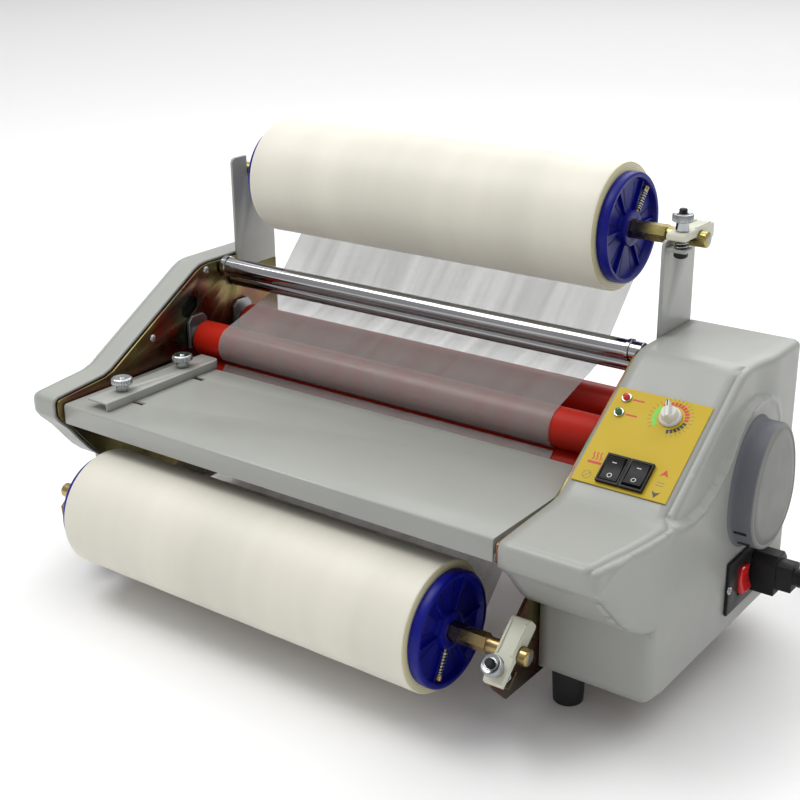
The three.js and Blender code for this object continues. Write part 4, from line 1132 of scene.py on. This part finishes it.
def rocker_marks():
    for name, x, tip in SWITCHES:
        c, s = cos(radians(tip)), sin(radians(tip))
        shapes = [bar_shape(-1.6, 4.6, 1.6, 4.6, 0.6)]
        shapes.append(band_shape([(1.5 * cos(i * pi / 12), -4.6 + 1.5 * sin(i * pi / 12))
                                  for i in range(25)], 0.5))
        points, faces = [], []
        for shape in shapes:
            base, n = len(points), len(shape)
            for lift in (0.0, 0.12):
                for u, v in shape:
                    height = 5.4 - 1.5 * sin(pi * (8.2 - v) / 16.4) ** 0.8 + lift
                    points.append((u, v * c - height * s, v * s + height * c + PIVOT_OUT))
            faces += prism_faces(n, base)
        on_slope(name + "_rocker_marks", points, faces, WHITE_PRINT, name + "_switch", centre=(x, SWITCH_UP))


def control_panel():
    x0, x1, low, high = 368, 436.5, 7.3, 85.2
    corners = [(x0, low), (x1, low), (x1, high), (x0, high)]
    points = [(u, v, out) for out in (0.3, 1.3) for u, v in corners]
    bevelled(on_slope("control_panel_plate", points, prism_faces(4), YELLOW, "machine", ("control_panel",)), 0.3)
    dress("switch_housing", BLACK, 0.4)
    for name, x, _ in SWITCHES:
        outer, inner = (8.2, 11.15), (6.9, 9.35)
        points = []
        for out, (half_x, half_up) in ((1.6, outer), (4.1, outer), (4.1, inner), (3.0, inner), (1.6, inner)):
            points += [(sx * half_x, su * half_up, out) for sx, su in ((-1, -1), (1, -1), (1, 1), (-1, 1))]
        bezel = on_slope(name + "_switch_bezel", points, ring_faces(5, 4), BLACK, "machine", centre=(x, SWITCH_UP))
        bevelled(bezel, 0.35)
    panel_print()
    knob()
    lamps()
    for name, x, tip in SWITCHES:
        rocker(name + "_rocker", x, tip, BLACK)
    rocker_marks()


control_panel()


# ---- mains inlet, connector and plug
def mains_pieces():
    dress("power_inlet", BLACK, 0.6)
    dress("power_rocker", RED_LENS, 0.5)
    dress("mains_connector", BLACK, 0.9, 3)
    dress("mains_plug", BLACK, 0.9, 3)
    for i in range(6):
        x = 485 + 4.2 * i
        r = 6.6 - 2.0 * (x - 481) / 31
        ring = [(x, r - 0.3), (x + 0.4, r + 0.45), (x + 1.6, r + 0.4), (x + 2, r - 0.4)]
        turned("connector_boot_ring_%d" % i, ring, (0, -29, 69), BLACK, "machine", segments=48)
        r = 4.6 + 2.9 * (4 + 5 * i) / 41
        x = 549.5 - 4 - 5 * i
        ring = [(x, r - 0.3), (x + 0.4, r + 0.4), (x + 1.6, r + 0.3), (x + 2, r - 0.5)]
        turned("plug_boot_ring_%d" % i, ring, (0, 88.9, 11.1), BLACK, "machine", segments=48)
    for y in (-73.5, -8.5):
        head = [(452.7, 0), (452.75, 1.0), (453.2, 1.2), (453.5, 2.4), (453.3, 3.0), (452.8, 3.2), (452.5, 3.2)]
        turned("inlet_screw_%s" % ("a" if y < -40 else "b"), head, (0, y, 69), BRIGHT, "machine", segments=36)


mains_pieces()


# ---- floor and light
def studio():
    mesh = bpy.data.meshes.new("floor")
    mesh.from_pydata([(-14, -14, 0), (14, -14, 0), (14, 14, 0), (-14, 14, 0)], [], [(0, 1, 2, 3)])
    floor = bpy.data.objects.new("floor", mesh)
    link(floor)
    mesh.materials.append(moulded("floor", (0.9, 0.9, 0.9), 0.7, grain=200, bump=0.0, mottle=0.005))
    world = bpy.data.worlds.new("studio")
    world.use_nodes = True
    background = world.node_tree.nodes["Background"]
    background.inputs["Color"].default_value = (1, 1, 1, 1)
    background.inputs["Strength"].default_value = 0.5
    bpy.context.scene.world = world
    for name, place, size, power, colour in (
        ("key", (-0.9, -0.5, 1.8), 1.0, 15, (1, 1, 0.99)),
        ("top", (0.0, 1.5, 4.2), 8.0, 210, (1, 1, 1)),
        ("back", (-0.2, 1.5, 1.4), 1.2, 7, (1, 1, 1)),
    ):
        data = bpy.data.lights.new(name, "AREA")
        data.size = size
        data.energy = power
        data.color = colour
        lamp = bpy.data.objects.new(name, data)
        lamp.location = place
        lamp.rotation_euler = (Vector((0, 0, 0.15)) - Vector(place)).to_track_quat("-Z", "Y").to_euler()
        link(lamp)
    bpy.context.scene.view_settings.view_transform = "Standard"


studio()
